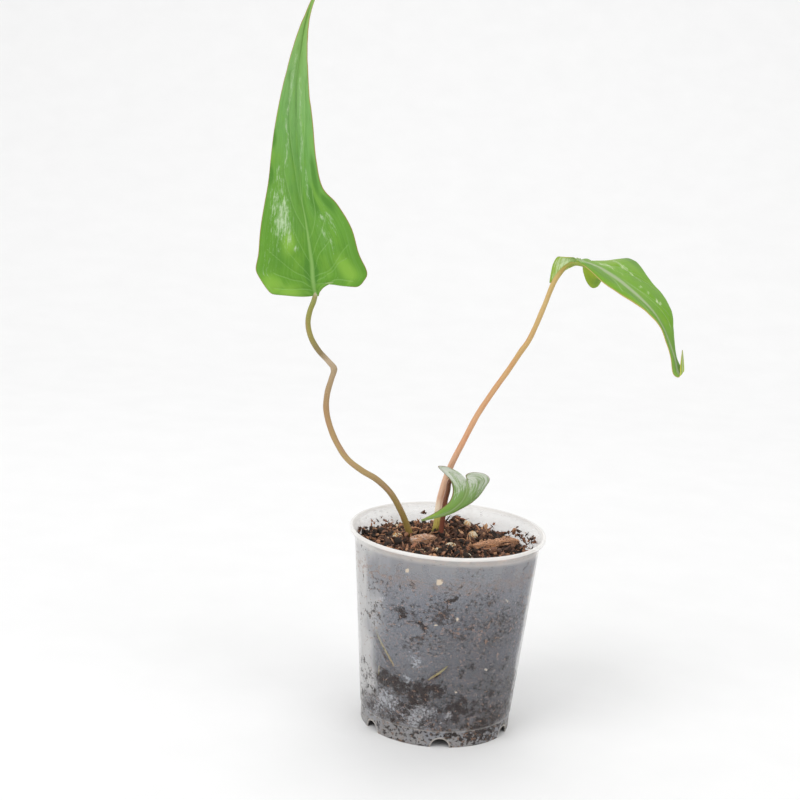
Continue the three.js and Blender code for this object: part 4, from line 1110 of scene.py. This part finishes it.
def mix_height(x, y):
    """The height of the mix's top, without its crumbs."""
    level = MIX_LEVEL + MIX_TILT[0] * x + MIX_TILT[1] * y
    for at_x, at_y, height, width in MIX_MOUNDS:
        level = level + height * np.exp(-((x - at_x) ** 2 + (y - at_y) ** 2) / width**2)
    return level + MIX_DRIFT * rim_share(x, y) * np.clip(DRIFT_SIDES - y / DRIFT_REACH, 0, 1)


def rim_share(x, y):
    """How near places on the mix are to its rim, from 0 to 1 at the wall."""
    return np.clip((np.hypot(x, y) - RIM_START) / (inner_radius(MIX_LEVEL) - RIM_START), 0, 1) ** 2


def under_pieces(x, y):
    """How near places on the mix are to the bark and the pumice that lie on it, from 0 to 1 beneath them."""
    at = np.stack([x, y], axis=-1).reshape(-1, 2)
    near = np.zeros(len(at))
    for bark in (BARK_STICK, BARK_CHIP):
        away = distance_to_line(at, np.array(bark["points"], float))
        near = np.maximum(near, np.exp(-((away / (BARK_BED * max(bark["radii"]))) ** 4)))
    for grain_x, grain_y, radius in PUMICE:
        away = np.hypot(at[:, 0] - grain_x, at[:, 1] - grain_y)
        near = np.maximum(near, np.exp(-((away / (PUMICE_BED * radius)) ** 4)))
    return near


def mix_top():
    """Rings of points from the wall to the middle of the mix's crumbly top."""
    angle = np.arange(MIX_SIDES) / MIX_SIDES * 2 * math.pi
    edge = inner_radius(MIX_LEVEL) - MIX_GAP
    share = np.linspace(1, MIX_MIDDLE, MIX_TOP_RINGS)[:, None]
    x = share * edge * np.cos(angle)
    y = share * edge * np.sin(angle)
    points = np.stack([x, y, mix_height(x, y)], axis=-1).reshape(-1, 3)
    near = under_pieces(x, y)
    rough = (1 - near) * (1 - RIM_SMOOTHNESS * rim_share(points[:, 0], points[:, 1]))
    relief = np.abs(lumps(points, MIX_RELIEF, seed=1)) * MIX_RISE - MIX_HOLLOW
    points[:, 2] += relief * rough - BED_DEPTH * near
    return points


def ring_of_points(radius, height):
    """A ring of the mix's points round the pot's axis."""
    angle = np.arange(MIX_SIDES) / MIX_SIDES * 2 * math.pi
    return np.stack([radius * np.cos(angle), radius * np.sin(angle), height], axis=1)


def make_mix(material):
    """The mix: its underside, its wall with pits and with hollows at the roots, and its crumbly top."""
    top = mix_top()
    rim = top[:MIX_SIDES]
    raised = CHANNEL_HEIGHT + FLOOR + MIX_GAP
    shoulder = inner_radius(SHOULDER_HEIGHT) - MIX_GAP
    bottom = [(MIX_FOOT_MIDDLE, FLOOR + MIX_GAP), (FLOOR_FLAT_RADIUS - FLOOR - MIX_GAP, FLOOR + MIX_GAP),
              (CHANNEL_INNER_RADIUS - FLOOR / 2 - MIX_GAP, raised), (shoulder - SHOULDER_STEP, raised)]
    below = [ring_of_points(r, np.full(MIX_SIDES, z)) for r, z in bottom]
    rows = int((MIX_LEVEL - SHOULDER_HEIGHT) / MIX_ROW)
    side = []
    for share in np.linspace(0, 1, rows)[:-1]:
        z = SHOULDER_HEIGHT + MIX_GAP + share * (rim[:, 2] - SHOULDER_HEIGHT - MIX_GAP)
        side.append(ring_of_points(inner_radius(np.minimum(z, NECK_HEIGHT)) - MIX_GAP, z))
    side = np.concatenate(side)
    pits = np.maximum(lumps(side, MIX_WALL_PITS, seed=5), 0)
    room = ROOT_HOLLOW * np.clip(2 - root_distance(side) / ROOT_ROOM, 0, 1)
    side[:, :2] *= (1 - (pits + room) / np.hypot(side[:, 0], side[:, 1]))[:, None]
    points = np.vstack([*below, side, top])
    faces = grid_faces(len(points) // MIX_SIDES, MIX_SIDES)
    points = np.vstack([points, [0, 0, FLOOR + MIX_GAP], [0, 0, top[-1][2]]])
    first, last = len(points) - 2, len(points) - 1
    after = (np.arange(MIX_SIDES) + 1) % MIX_SIDES
    faces += [[first, after[k], k] for k in range(MIX_SIDES)]
    faces += [[last, last - 1 - MIX_SIDES + k, last - 1 - MIX_SIDES + after[k]] for k in range(MIX_SIDES)]
    piece = place("mix_body", make_mesh("mix_body", points, faces), material)
    belongs(piece, "bark_mix", "substrate")


def make_stem(material):
    """The shoot with its buried part, and the roots that grow from it."""
    parts = [tube(STEM["points"], STEM["radii"], sides=24, step=0.8, relief=[(2.5, 0.12)])]
    for i, points in enumerate(ROOTS):
        parts.append(tube(points, ROOT_RADII, sides=12, step=0.9, relief=[(2.2, 0.2)], seed=i))
    for i, (points, _, values) in enumerate(parts):
        values["root"] = np.full(len(points), min(i, 1))
    piece = place("stem_with_roots", make_mesh("stem_with_roots", *join_parts(parts)), material)
    belongs(piece, "stem", "stem_and_roots")


def make_stalk(side, material, slot):
    """A leaf's stalk, faintly uneven, with its raised scars."""
    stalk = PETIOLES[side]
    form = tube(stalk["points"], stalk["radii"], sides=28, step=0.7, rings=stalk["rings"], relief=[(5, 0.1)])
    piece = place("stalk_" + side, make_mesh("stalk_" + side, *form), material)
    belongs(piece, slot, "petiole_" + side)


def make_bark(name, bark, material, bloom, node):
    """A split piece of bark on the mix, more or less dusty with bloom."""
    points = [(x, y, mix_height(x, y) + lift) for (x, y), lift in zip(bark["points"], bark["lift"])]
    form = tube(points, bark["radii"], sides=64, step=0.3, flatness=bark["flatness"],
                relief=[(3, 0.4), (1, 0.5), (0.45, 0.35)], seed=2, stretch=1.8, square=0.5, tip=0.75)
    form[2]["bloom"] = np.full(len(form[0]), bloom)
    belongs(place(name, make_mesh(name, *form), material), "bark", node)


def make_pumice(material):
    """Knobbly grains that lie half sunk in the mix."""
    for i, (x, y, radius) in enumerate(PUMICE):
        form = bmesh.new()
        bmesh.ops.create_icosphere(form, subdivisions=4, radius=radius * MM)
        turn = Matrix.Rotation(2 * i, 4, "Z") @ Matrix.Rotation(i, 4, "X")
        form.transform(turn @ Matrix.Diagonal((*PUMICE_PROPORTIONS, 1)))
        mesh = bpy.data.meshes.new("pumice")
        form.to_mesh(mesh)
        form.free()
        points = coordinates(mesh)
        shape = 1 + lumps(points, [(1.8, 0.28), (0.6, 0.1)], seed=i)
        points = points * shape[:, None] + [x, y, mix_height(x, y) + PUMICE_SHOWING * radius]
        mesh.vertices.foreach_set("co", (points * MM).astype(np.float32).ravel())
        mesh.shade_smooth()
        belongs(place(f"pumice_grain_{i + 1}", mesh, material), "pumice", f"pumice_{i + 1}")


# Blades
def blade_points(blade, side, ray, share):
    """Points of a blade's middle surface, on one side of the midrib, with the width of the blade there."""
    ray, share = (np.asarray(a, float).ravel() for a in np.broadcast_arrays(ray, share))
    rays, midrib = blade["rays"], blade["midrib"]
    guide = spline([(at, left, right) for at, _, _, left, right in rays], ray)
    station = np.clip(guide[:, 0], 0, len(midrib) - 1)
    root = spline(midrib, station)
    ahead = directions(midrib, station)
    end = spline([r[1 + side] for r in rays], ray)
    span = end - root
    width = np.linalg.norm(span, axis=1, keepdims=True)
    up = np.cross(ahead, span) * (1 if side == 0 else -1)
    up /= np.linalg.norm(up, axis=1, keepdims=True)
    lobe_bow = blade["lobe_bow"][side]
    bow = lobe_bow + (BLADE_BOW - lobe_bow) * np.minimum(1, ray / LOBE_RAYS)[:, None]
    middle = root + span / 2 + 2 * guide[:, 1 + side, None] * up + bow * width * ahead
    v = share[:, None]
    return (1 - v) ** 2 * root + 2 * v * (1 - v) * middle + v**2 * end, width[:, 0]


def blade_line(blade, marks):
    """A smooth line on the blade through marks, each a side, ray and share."""
    places = spline(marks, np.linspace(0, len(marks) - 1, VEIN_STEPS * len(marks)))
    return np.concatenate([blade_points(blade, round(side), ray, share)[0] for side, ray, share in places])


def measure_blade(blade):
    """A blade's middle surface before its relief, as rows of points from the left margin to the right, with
    what is measured at each point."""
    last = len(blade["rays"]) - 1
    leaf = SimpleNamespace(blade=blade, rays=np.linspace(0, last, last * STEPS_PER_RAY + 1))
    shares = np.linspace(0, 1, SIDE_STEPS + 1) ** STEP_CROWDING
    left, left_width = blade_points(blade, 0, leaf.rays[:, None], shares[::-1][None])
    right, right_width = blade_points(blade, 1, leaf.rays[:, None], shares[None, 1:])
    count = len(leaf.rays)
    leaf.sheet = np.concatenate([half.reshape(count, -1, 3) for half in (left, right)], axis=1)
    leaf.points = leaf.sheet.reshape(-1, 3)
    leaf.share = np.concatenate([-shares[::-1], shares[1:]])[None].repeat(count, axis=0)
    leaf.width = np.concatenate([half.reshape(count, -1) for half in (left_width, right_width)], axis=1)
    leaf.outward = np.abs(leaf.share) * leaf.width
    leaf.edge = (1 - np.abs(leaf.share)) * leaf.width
    places = np.linspace(0, len(blade["midrib"]) - 1, MIDRIB_STEPS)
    steps = np.linalg.norm(np.diff(spline(blade["midrib"], places), axis=0), axis=1)
    station = spline([(ray[0], 0, 0) for ray in blade["rays"]], leaf.rays)[:, 0]
    leaf.length = steps.sum()
    leaf.station = np.interp(station, places, np.concatenate([[0], np.cumsum(steps)]))
    leaf.along = leaf.station[:, None] + GRAIN_SLANT * np.abs(leaf.share) * leaf.width
    leaf.rib = leaf.outward / np.interp(leaf.along, [0, leaf.length], blade["rib_width"])
    fade = np.interp(leaf.along, [RIB_FADE_START * leaf.length, leaf.length], [0, 1])
    leaf.rib += blade["rib_fade"] * fade
    veins = [distance_to_line(leaf.points, blade_line(blade, marks)) for marks in blade["veins"]]
    leaf.vein = np.min(veins, axis=0).reshape(leaf.share.shape)
    return leaf


def blade_skins(leaf):
    """The points of a blade's upper and lower skin, with its creases, the bulges between them, the groove
    over the midrib and the waves towards the margin."""
    normal = np.cross(np.gradient(leaf.sheet, axis=1), np.gradient(leaf.sheet, axis=0))
    normal /= np.maximum(np.linalg.norm(normal, axis=2, keepdims=True), 1e-9)
    inside = np.sin(math.pi * np.clip(np.abs(leaf.share), 0, 1)) ** 0.5
    narrow = np.clip(leaf.width / RELIEF_WIDTH, 0.1, 1)
    crease = -VEIN_DEPTH * bell(leaf.vein / VEIN_WIDTH)
    pillow = PILLOW * np.sin(np.clip(leaf.vein / PILLOW_REACH, 0, 1) * math.pi / 2)
    groove = -GROOVE_DEPTH * bell(leaf.rib) * np.interp(leaf.along, [0, GROOVE_END * leaf.length], [1, 0])
    ripple = lumps(leaf.points, RIPPLE, leaf.blade["ripple_seed"]).reshape(leaf.share.shape)
    ripple *= np.abs(leaf.share) ** 2
    sheet = leaf.sheet + (((crease + pillow) * inside + groove + ripple) * narrow)[..., None] * normal
    for _ in range(CREASE_ROUNDS):
        between = 0.5 * (sheet[:, :-2] + sheet[:, 2:]) - sheet[:, 1:-1]
        sheet[:, 1:-1] += between * bell(leaf.outward / CREASE_REACH)[:, 1:-1, None]
    taper = np.clip(leaf.edge / MARGIN_TAPER, 0, 1)
    half = 0.5 * (MARGIN_THICKNESS + (BLADE_THICKNESS - MARGIN_THICKNESS) * taper)
    ridge = np.interp(leaf.along, [0, leaf.length], leaf.blade["ridge"]) * bell(leaf.outward / RIDGE_WIDTH)
    vein = UNDER_VEIN * bell(leaf.vein / UNDER_VEIN_WIDTH) * inside * narrow
    upper = sheet + half[..., None] * normal
    lower = sheet - (half + ridge * np.clip(leaf.width / RIDGE_FULL, 0.3, 1) + vein)[..., None] * normal
    return np.vstack([upper.reshape(-1, 3), lower.reshape(-1, 3)])


def blade_faces(length, breadth):
    """Faces of both skins of a blade, and of the rim that joins them."""
    count = length * breadth
    upper = grid_faces(length, breadth, closed=False)
    lower = [[count + a, count + d, count + c, count + b] for a, b, c, d in upper]
    tip = count - breadth
    rim = [*range(breadth), *(i * breadth + breadth - 1 for i in range(1, length)),
           *(tip + j for j in range(breadth - 2, -1, -1)), *(i * breadth for i in range(length - 2, 0, -1))]
    return upper + lower + [[a, count + a, count + b, b] for a, b in zip(rim, rim[1:] + rim[:1])]


def patch_strength(leaf, across, patches):
    """How strongly each point lies in patches that are longer along the blade than across it."""
    total = np.zeros(len(leaf.points))
    along = leaf.along.ravel()
    for side, ray, share, length, width, strength in patches:
        centre = blade_points(leaf.blade, side, ray, share)[0][0]
        reach = np.linalg.norm(leaf.points - centre, axis=1)
        nearest = np.argmin(reach)
        away = ((across - across[nearest]) / width) ** 2 + ((along - along[nearest]) / length) ** 2
        total = np.maximum(total, strength * np.exp(-away) * (reach < PATCH_END * length))
    return total


def blade_marks(leaf):
    """What is stored on both skins of a blade for its colours and its grain."""
    blade = leaf.blade
    across = leaf.share.ravel() * leaf.width.mean() * GRAIN_SPREAD
    bloom = patch_strength(leaf, across, blade["bloom"])
    streaks = [distance_to_line(leaf.points, blade_line(blade, marks)) for marks in blade["streaks"]]
    if streaks:
        bloom = np.maximum(bloom, STREAK_STRENGTH * bell(np.min(streaks, axis=0) / STREAK_REACH))
    left, right, first_ray = blade["hem"]
    hem = np.where(leaf.share < 0, left, right) * np.clip(leaf.width / HEM_WIDTH, 0, 1)
    level = {
        "rib": leaf.rib.ravel(),
        "edge": leaf.edge.ravel(),
        "vein": leaf.vein.ravel(),
        "share": np.repeat(leaf.station / leaf.length, leaf.share.shape[1]),
        "hem": (hem * (leaf.rays[:, None] >= first_ray)).ravel(),
        "bloom": bloom,
        "dark": patch_strength(leaf, across, [(*mark, 1) for mark in blade["dark"]]),
        "young": patch_strength(leaf, across, [(*mark, 1) for mark in blade["young"]]),
        "grain": np.stack([across, leaf.along.ravel(), np.zeros(len(across))], axis=1),
    }
    values = {key: np.concatenate([column, column]) for key, column in level.items()}
    values["under"] = np.repeat([0, 1], len(across))
    values["bloom"][len(across):] = 0
    return values


def make_blade(name, material, slot):
    """A leaf's blade, as one closed skin."""
    leaf = measure_blade(BLADES[name])
    mesh = make_mesh("leaf_" + name, blade_skins(leaf), blade_faces(*leaf.share.shape), blade_marks(leaf))
    belongs(place("leaf_" + name, mesh, material), slot, "blade_" + name)


# Loose litter on the mix
def litter_tree():
    """Scatters shapes over a surface, each turned, sized and toned at random."""
    tree = bpy.data.node_groups.new("loose litter", "GeometryNodeTree")
    for name, kind in (("Surface", "Geometry"), ("Shapes", "Collection"), ("Per Square Metre", "Float"),
                       ("Seed", "Int"), ("Smallest", "Float"), ("Largest", "Float"), ("Tilt", "Float"),
                       ("Lift", "Float"), ("Finish", "Material")):
        tree.interface.new_socket(name, in_out="INPUT", socket_type="NodeSocket" + kind)
    tree.interface.new_socket("Litter", in_out="OUTPUT", socket_type="NodeSocketGeometry")
    given = add(tree, "NodeGroupInput").node.outputs
    often = add(tree, "GeometryNodeInputNamedAttribute", {"Name": "litter"}, data_type="FLOAT")
    density = weighted(tree, (given["Per Square Metre"], often))
    points = add(tree, "GeometryNodeDistributePointsOnFaces",
                 {"Mesh": given["Surface"], "Density": density, "Seed": given["Seed"]}).node.outputs
    chance = add(tree, "FunctionNodeRandomValue", {"Seed": 3}, output=RANDOM_NUMBER)
    rise = weighted(tree, (chance, given["Lift"]))
    lift = add(tree, "ShaderNodeVectorMath", {0: points["Normal"], "Scale": rise}, operation="SCALE")
    lifted = add(tree, "GeometryNodeSetPosition", {"Geometry": points["Points"], "Offset": lift})
    back = weighted(tree, (given["Tilt"], -1))
    low = add(tree, "ShaderNodeCombineXYZ", {"X": back, "Y": back, "Z": -math.pi})
    high = add(tree, "ShaderNodeCombineXYZ", {"X": given["Tilt"], "Y": given["Tilt"], "Z": math.pi})
    turn = add(tree, "FunctionNodeRandomValue", {LEAST_VECTOR: low, MOST_VECTOR: high, "Seed": 1},
               data_type="FLOAT_VECTOR")
    turn = add(tree, "FunctionNodeEulerToRotation", {0: turn})
    turn = add(tree, "FunctionNodeRotateRotation", {"Rotation": points["Rotation"], "Rotate By": turn},
               rotation_space="LOCAL")
    size = add(tree, "FunctionNodeRandomValue",
               {LEAST_NUMBER: given["Smallest"], MOST_NUMBER: given["Largest"], "Seed": 2},
               output=RANDOM_NUMBER)
    shapes = add(tree, "GeometryNodeCollectionInfo",
                 {"Collection": given["Shapes"], "Separate Children": True, "Reset Children": True})
    placed = add(tree, "GeometryNodeInstanceOnPoints", {
        "Points": lifted, "Instance": shapes, "Pick Instance": True, "Rotation": turn, "Scale": size,
    })
    tone = add(tree, "FunctionNodeRandomValue", {"Seed": 4}, output=RANDOM_NUMBER)
    toned = add(tree, "GeometryNodeStoreNamedAttribute", {"Geometry": placed, "Name": "tone", "Value": tone},
                data_type="FLOAT", domain="INSTANCE")
    real = add(tree, "GeometryNodeRealizeInstances", {"Geometry": toned})
    done = add(tree, "GeometryNodeSetMaterial", {"Geometry": real, "Material": given["Finish"]})
    add(tree, "NodeGroupOutput", {"Litter": done})
    return tree


def crumb_shape(seed, proportions=(1, 0.8, 0.65)):
    """A ragged crumb or flake with a radius of one millimetre."""
    form = bmesh.new()
    bmesh.ops.create_icosphere(form, subdivisions=2, radius=1)
    points = np.array([v.co for v in form.verts])
    points *= (1 + lumps(points, [(0.8, 0.8), (0.35, 0.4)], seed))[:, None] * proportions
    faces = [[v.index for v in face.verts] for face in form.faces]
    form.free()
    return points, faces


def fibre_shape(seed):
    """A bent fibre, one millimetre long."""
    bend = 0.12 * math.sin(2.4 * seed + 1)
    points = [(-0.5, 0, 0), (-0.2, bend, 0.05), (0.15, -bend, 0.02), (0.5, 0.6 * bend, -0.05)]
    thick = 0.035 + 0.012 * (seed % 3)
    return tube(points, [0.6 * thick, thick, thick, 0.4 * thick], sides=5, step=0.14)[:2]


def chip_shape(seed):
    """A flat, split flake of bark, one millimetre long."""
    bend = 0.1 * math.sin(1.7 * seed)
    points = [(-0.5, 0, 0), (-0.15, bend, 0.03), (0.2, bend, -0.02), (0.5, 0, 0)]
    wide = 0.2 + 0.05 * (seed % 3)
    form = tube(points, [0.7 * wide, wide, 1.1 * wide, 0.5 * wide], sides=7, step=0.13, flatness=0.32)
    return form[0] + lumps(form[0], [(0.35, 0.07)], seed)[:, None], form[1]


def scatter(name, tree, ground, shapes, settings, slot):
    """A piece of loose litter. The shapes and the tree's modifier are gone when it is made."""
    kinds = bpy.data.collections.new(name + "_shapes")
    for i, (points, faces) in enumerate(shapes):
        kinds.objects.link(bpy.data.objects.new(f"{name}_shape_{i}", make_mesh(name, points, faces)))
    carrier = bpy.data.objects.new(name + "_ground", ground)
    bpy.context.scene.collection.objects.link(carrier)
    modifier = carrier.modifiers.new("litter", "NODES")
    modifier.node_group = tree
    given = {item.name: item.identifier for item in tree.interface.items_tree if item.in_out == "INPUT"}
    for key, value in {**settings, "Shapes": kinds}.items():
        modifier[given[key]] = value
    mesh = finished(carrier)
    mesh.name = name
    bpy.data.objects.remove(carrier)
    for shape in list(kinds.objects):
        bpy.data.objects.remove(shape)
    bpy.data.collections.remove(kinds)
    mesh.shade_smooth()
    belongs(place(name, mesh, settings["Finish"]), slot)


# What lies on the mix: density is in pieces per square metre, sizes are in millimetres, tilt is in radians
LITTER = {
    "loose_crumbs": {"Per Square Metre": 150000, "Seed": 11, "Smallest": 0.4, "Largest": 1.2, "Tilt": 3,
                     "Lift": 1.2 * MM},
    "loose_clods": {"Per Square Metre": 24000, "Seed": 16, "Smallest": 1.2, "Largest": 2.6, "Tilt": 3,
                    "Lift": 0.8 * MM},
    "loose_flakes": {"Per Square Metre": 70000, "Seed": 17, "Smallest": 0.8, "Largest": 2.6, "Tilt": 1.4,
                     "Lift": 1.8 * MM},
    "loose_fibres": {"Per Square Metre": 70000, "Seed": 12, "Smallest": 3, "Largest": 9, "Tilt": 0.7,
                     "Lift": 1.8 * MM},
    "loose_chips": {"Per Square Metre": 22000, "Seed": 13, "Smallest": 2.5, "Largest": 6.5, "Tilt": 0.9,
                    "Lift": 1.2 * MM},
    "loose_grit": {"Per Square Metre": 7000, "Seed": 14, "Smallest": 0.35, "Largest": 0.9, "Tilt": 3,
                   "Lift": 1.4 * MM},
    "wall_bits": {"Per Square Metre": 420000, "Seed": 15, "Smallest": 0.4, "Largest": 1.7, "Tilt": 1.2,
                  "Lift": 0.0},
}
LITTER_RADIUS = 47  # no loose litter starts farther out than this
LITTER_EDGE = 1.5
WALL_BIT_BAND = (92, NECK_HEIGHT + 1.5)  # lowest and highest place on the inside wall for crumbs
WALL_BIT_RINGS = 12
WALL_BIT_GAP = 0.2
WALL_BIT_PATCHES = [
    # angle, height and radius of the places on the inside wall that crumbs cling to
    (137, 102.3, 2), (147, 101.3, 2.2), (151, 99, 3), (130, 97.5, 3), (108, 101.5, 1.2), (30, 98.5, 2.5),
    (24, 98, 4.5), (16, 99.5, 3.6), (29, 95, 4), (20, 102, 2.6), (36, 99.5, 2), (12, 101.6, 2.4),
    (42, 99, 2.5), (172, 102.3, 2), (160, 98, 3), (60, 99.5, 2),
]


def make_litter(dark_finish, bark_finish, pale_finish):
    """The loose litter on the mix, and the crumbs that cling to the inside of the wall."""
    tree = litter_tree()
    top = mix_top()
    reach = np.hypot(top[:, 0], top[:, 1])
    everywhere = np.clip((LITTER_RADIUS - reach) / LITTER_EDGE, 0, 1)
    everywhere *= 1 - under_pieces(top[:, 0], top[:, 1])
    crumbs = [crumb_shape(i) for i in range(4)]
    fibres = [fibre_shape(i) for i in range(4)]
    chips = [chip_shape(i) for i in range(4)]
    grit = [crumb_shape(i + 10) for i in range(3)]
    flakes = [crumb_shape(i + 20, (1, 0.6, 0.18)) for i in range(4)]
    for name, shapes, finish, slot in (
        ("loose_crumbs", crumbs, dark_finish, "bark_mix"),
        ("loose_clods", crumbs, dark_finish, "bark_mix"),
        ("loose_flakes", flakes, dark_finish, "bark_mix"),
        ("loose_fibres", fibres, bark_finish, "bark_mix"),
        ("loose_chips", chips, bark_finish, "bark"),
        ("loose_grit", grit, pale_finish, "pumice"),
    ):
        faces = grid_faces(MIX_TOP_RINGS, MIX_SIDES)
        ground = make_mesh(name, top[::-1], faces, {"litter": everywhere[::-1]})
        scatter(name, tree, ground, shapes, {**LITTER[name], "Finish": finish}, slot)
    heights = np.linspace(*WALL_BIT_BAND, WALL_BIT_RINGS)
    angle = -np.arange(MIX_SIDES) / MIX_SIDES * 2 * math.pi
    radius = inner_radius(heights) - WALL_BIT_GAP
    wall = np.stack([np.outer(radius, np.cos(angle)), np.outer(radius, np.sin(angle)),
                     np.repeat(heights[:, None], MIX_SIDES, axis=1)], axis=-1).reshape(-1, 3)
    clinging = np.max([bell(wall_distance(wall, a, z) / r) for a, z, r in WALL_BIT_PATCHES], axis=0)
    ground = make_mesh("wall_bits", wall, grid_faces(WALL_BIT_RINGS, MIX_SIDES), {"litter": clinging})
    scatter("wall_bits", tree, ground, flakes, {**LITTER["wall_bits"], "Finish": bark_finish}, "bark_mix")
    bpy.data.node_groups.remove(tree)


# Stage, light and camera
CAMERA_DISTANCE = 892
CAMERA_HEIGHT = 372
CAMERA_TURN = [math.radians(a) for a in (-1.935, -12.37, 3.75)]  # yaw, pitch and roll
CAMERA_LENS = 78
CAMERA_REACH = 50  # in metres
BACKDROP = {"front": -3000, "back": 2300, "bend": 1500, "steps": 40, "height": 4000, "half_width": 4500}
SOFT_BOXES = [
    # place, size and power of each, aimed at the middle of the plant
    ((-1500, -1500, 1700), 1500, 26),
    ((1700, -1100, 1000), 1400, 9),
    ((200, 900, 1900), 1400, 8),
]
AIM = Vector((0, 0, 190)) * MM
WORLD_LIGHT = 0.72


def make_stage(material):
    """Matt paper that curves up behind the plant."""
    b = BACKDROP
    bend = [(b["back"] - b["bend"] + b["bend"] * math.sin(a), b["bend"] * (1 - math.cos(a)))
            for a in np.linspace(0, math.pi / 2, b["steps"])]
    line = [(b["front"], 0), *bend, (b["back"], b["height"])]
    points = [(x, y, z) for y, z in line for x in (-b["half_width"], b["half_width"])]
    faces = [[2 * i, 2 * i + 1, 2 * i + 3, 2 * i + 2] for i in range(len(line) - 1)]
    place("backdrop", make_mesh("backdrop", points, faces), material)


def make_lights():
    """Three soft boxes in an evenly white room."""
    world = bpy.data.worlds.new("white room")
    bpy.context.scene.world = world
    world.use_nodes = True
    background = world.node_tree.nodes["Background"]
    background.inputs["Color"].default_value = linear("#ffffff")
    background.inputs["Strength"].default_value = WORLD_LIGHT
    for i, (at, size, power) in enumerate(SOFT_BOXES):
        light = bpy.data.lights.new(f"soft_box_{i}", "AREA")
        light.size = size * MM
        light.energy = power
        box = bpy.data.objects.new(light.name, light)
        box.location = Vector(at) * MM
        box.rotation_euler = (AIM - box.location).to_track_quat("-Z", "Y").to_euler()
        bpy.context.scene.collection.objects.link(box)


def make_camera():
    """The camera at the photo's place, with its lens."""
    yaw, pitch, roll = CAMERA_TURN
    ahead = Vector((math.sin(yaw) * math.cos(pitch), math.cos(yaw) * math.cos(pitch), math.sin(pitch)))
    level = Vector((math.cos(yaw), -math.sin(yaw), 0))
    above = level.cross(ahead)
    right = math.cos(roll) * level + math.sin(roll) * above
    up = math.cos(roll) * above - math.sin(roll) * level
    camera = bpy.data.objects.new("camera", bpy.data.cameras.new("camera"))
    camera.data.lens = CAMERA_LENS
    turned = Matrix((right, up, -ahead)).transposed().to_4x4()
    camera.matrix_world = Matrix.Translation(Vector((0, -CAMERA_DISTANCE, CAMERA_HEIGHT)) * MM) @ turned
    camera.data.clip_end = CAMERA_REACH
    bpy.context.scene.collection.objects.link(camera)
    bpy.context.scene.camera = camera


bpy.context.scene.view_settings.view_transform = "Standard"
make_camera()
make_lights()
make_stage(matt_paper())

make_pot(frosted_polypropylene())
make_mix(damp_mix())
make_stem(stem_skin())
make_stalk("left", leaf_stalk("olive leaf stalk", [
    (0, "#a08b4c"), (0.06, "#a08a4a"), (0.15, "#9f894b"), (0.3, "#9b8158"), (0.42, "#ad9462"),
    (0.6, "#a38259"), (0.72, "#a48f70"), (0.765, "#baa68c"), (0.8, "#857450"), (0.88, "#928c42"),
    (0.95, "#88893f"), (0.985, "#8b9050"), (1, "#c8ccae"),
], streak="#8a7448", fleck="#c4ae84", blush="#ab7f6a"), "petiole_green")
make_stalk("right", leaf_stalk("tan leaf stalk", [
    (0, "#f4e6cc"), (0.035, "#f3dfc6"), (0.06, "#e8c2a8"), (0.16, "#deb598"), (0.25, "#d5a07a"),
    (0.4, "#d0a277"), (0.6, "#c5a268"), (0.78, "#c9ab72"), (0.86, "#c4a968"), (0.905, "#9a9740"),
    (0.94, "#7c922f"), (1, "#7d9a38"),
], streak="#b98a58", fleck="#e2c6a0", blush="#c77f58"), "petiole_tan")
make_stalk("small", leaf_stalk("dark red leaf stalk", [
    (0, "#7d4738"), (0.3, "#7e4837"), (0.6, "#84553f"), (0.85, "#74503a"), (1, "#7f7a4a"),
], streak="#5a2e24", fleck="#a98064", blush="#4a231b"), "petiole_red")
make_blade("left", leaf_blade("mature green leaf", [
    (0, "#6f9f3a"), (0.06, "#5f9328"), (0.14, "#5e922a"), (0.3, "#689b3d"), (0.45, "#6ea250"),
    (0.62, "#7caa60"), (0.85, "#86b05e"), (1, "#8db054"),
], {
    "streak": "#82af64", "young": "#86b440", "dark": "#4a7f26", "vein": "#9ac374", "bloom": "#bcd2ac",
    "rib": "#8fb666", "under": "#94ad6c", "margin": "#a8783c",
}), "leaf_green")
make_blade("right", leaf_blade("hanging green leaf", [
    (0, "#769f38"), (0.15, "#72a02f"), (0.35, "#6b9b22"), (0.6, "#699926"), (0.8, "#628f2f"),
    (0.93, "#769648"), (1, "#8c9b3c"),
], {
    "streak": "#86ad4b", "young": "#8ca72c", "dark": "#628b36", "vein": "#a9c389", "bloom": "#c4d5a8",
    # The pale rib colour is a painted highlight along the midrib; the underside colour is partly the paler
    # underside and partly painted light shining through the leaf
    "rib": "#a9b592", "under": "#cddb56", "margin": "#c9a468",
}), "leaf_green")
make_blade("small", leaf_blade("young silvery leaf", [
    (0, "#81976b"), (0.25, "#73934f"), (0.5, "#6c923c"), (0.8, "#699334"), (1, "#86a03a"),
], {
    "streak": "#9fae90", "young": "#8aa23a", "dark": "#57672c", "vein": "#a9ba94", "bloom": "#c9cdc2",
    "rib": "#8aa368", "under": "#8f9b6c", "margin": "#7a5038",
}), "leaf_young")
bark = conifer_bark()
make_bark("bark_stick_piece", BARK_STICK, bark, 0, "bark_stick")
make_bark("bark_chip_piece", BARK_CHIP, bark, 1, "bark_chip")
make_pumice(volcanic_pumice())
make_litter(
    loose_litter("damp peat crumbs", [(0, "#1a1410"), (0.35, "#33271f"), (0.6, "#6b4d3e"), (0.85, "#b58263"),
                                      (1, "#d6a881")]),
    loose_litter("bark fibres", [(0, "#372720"), (0.4, "#6b4a39"), (0.75, "#a26d51"), (1, "#d09b74")]),
    loose_litter("pale grit", [(0, "#c9a777"), (0.5, "#e6d6b8"), (1, "#f4eddd")]),
)
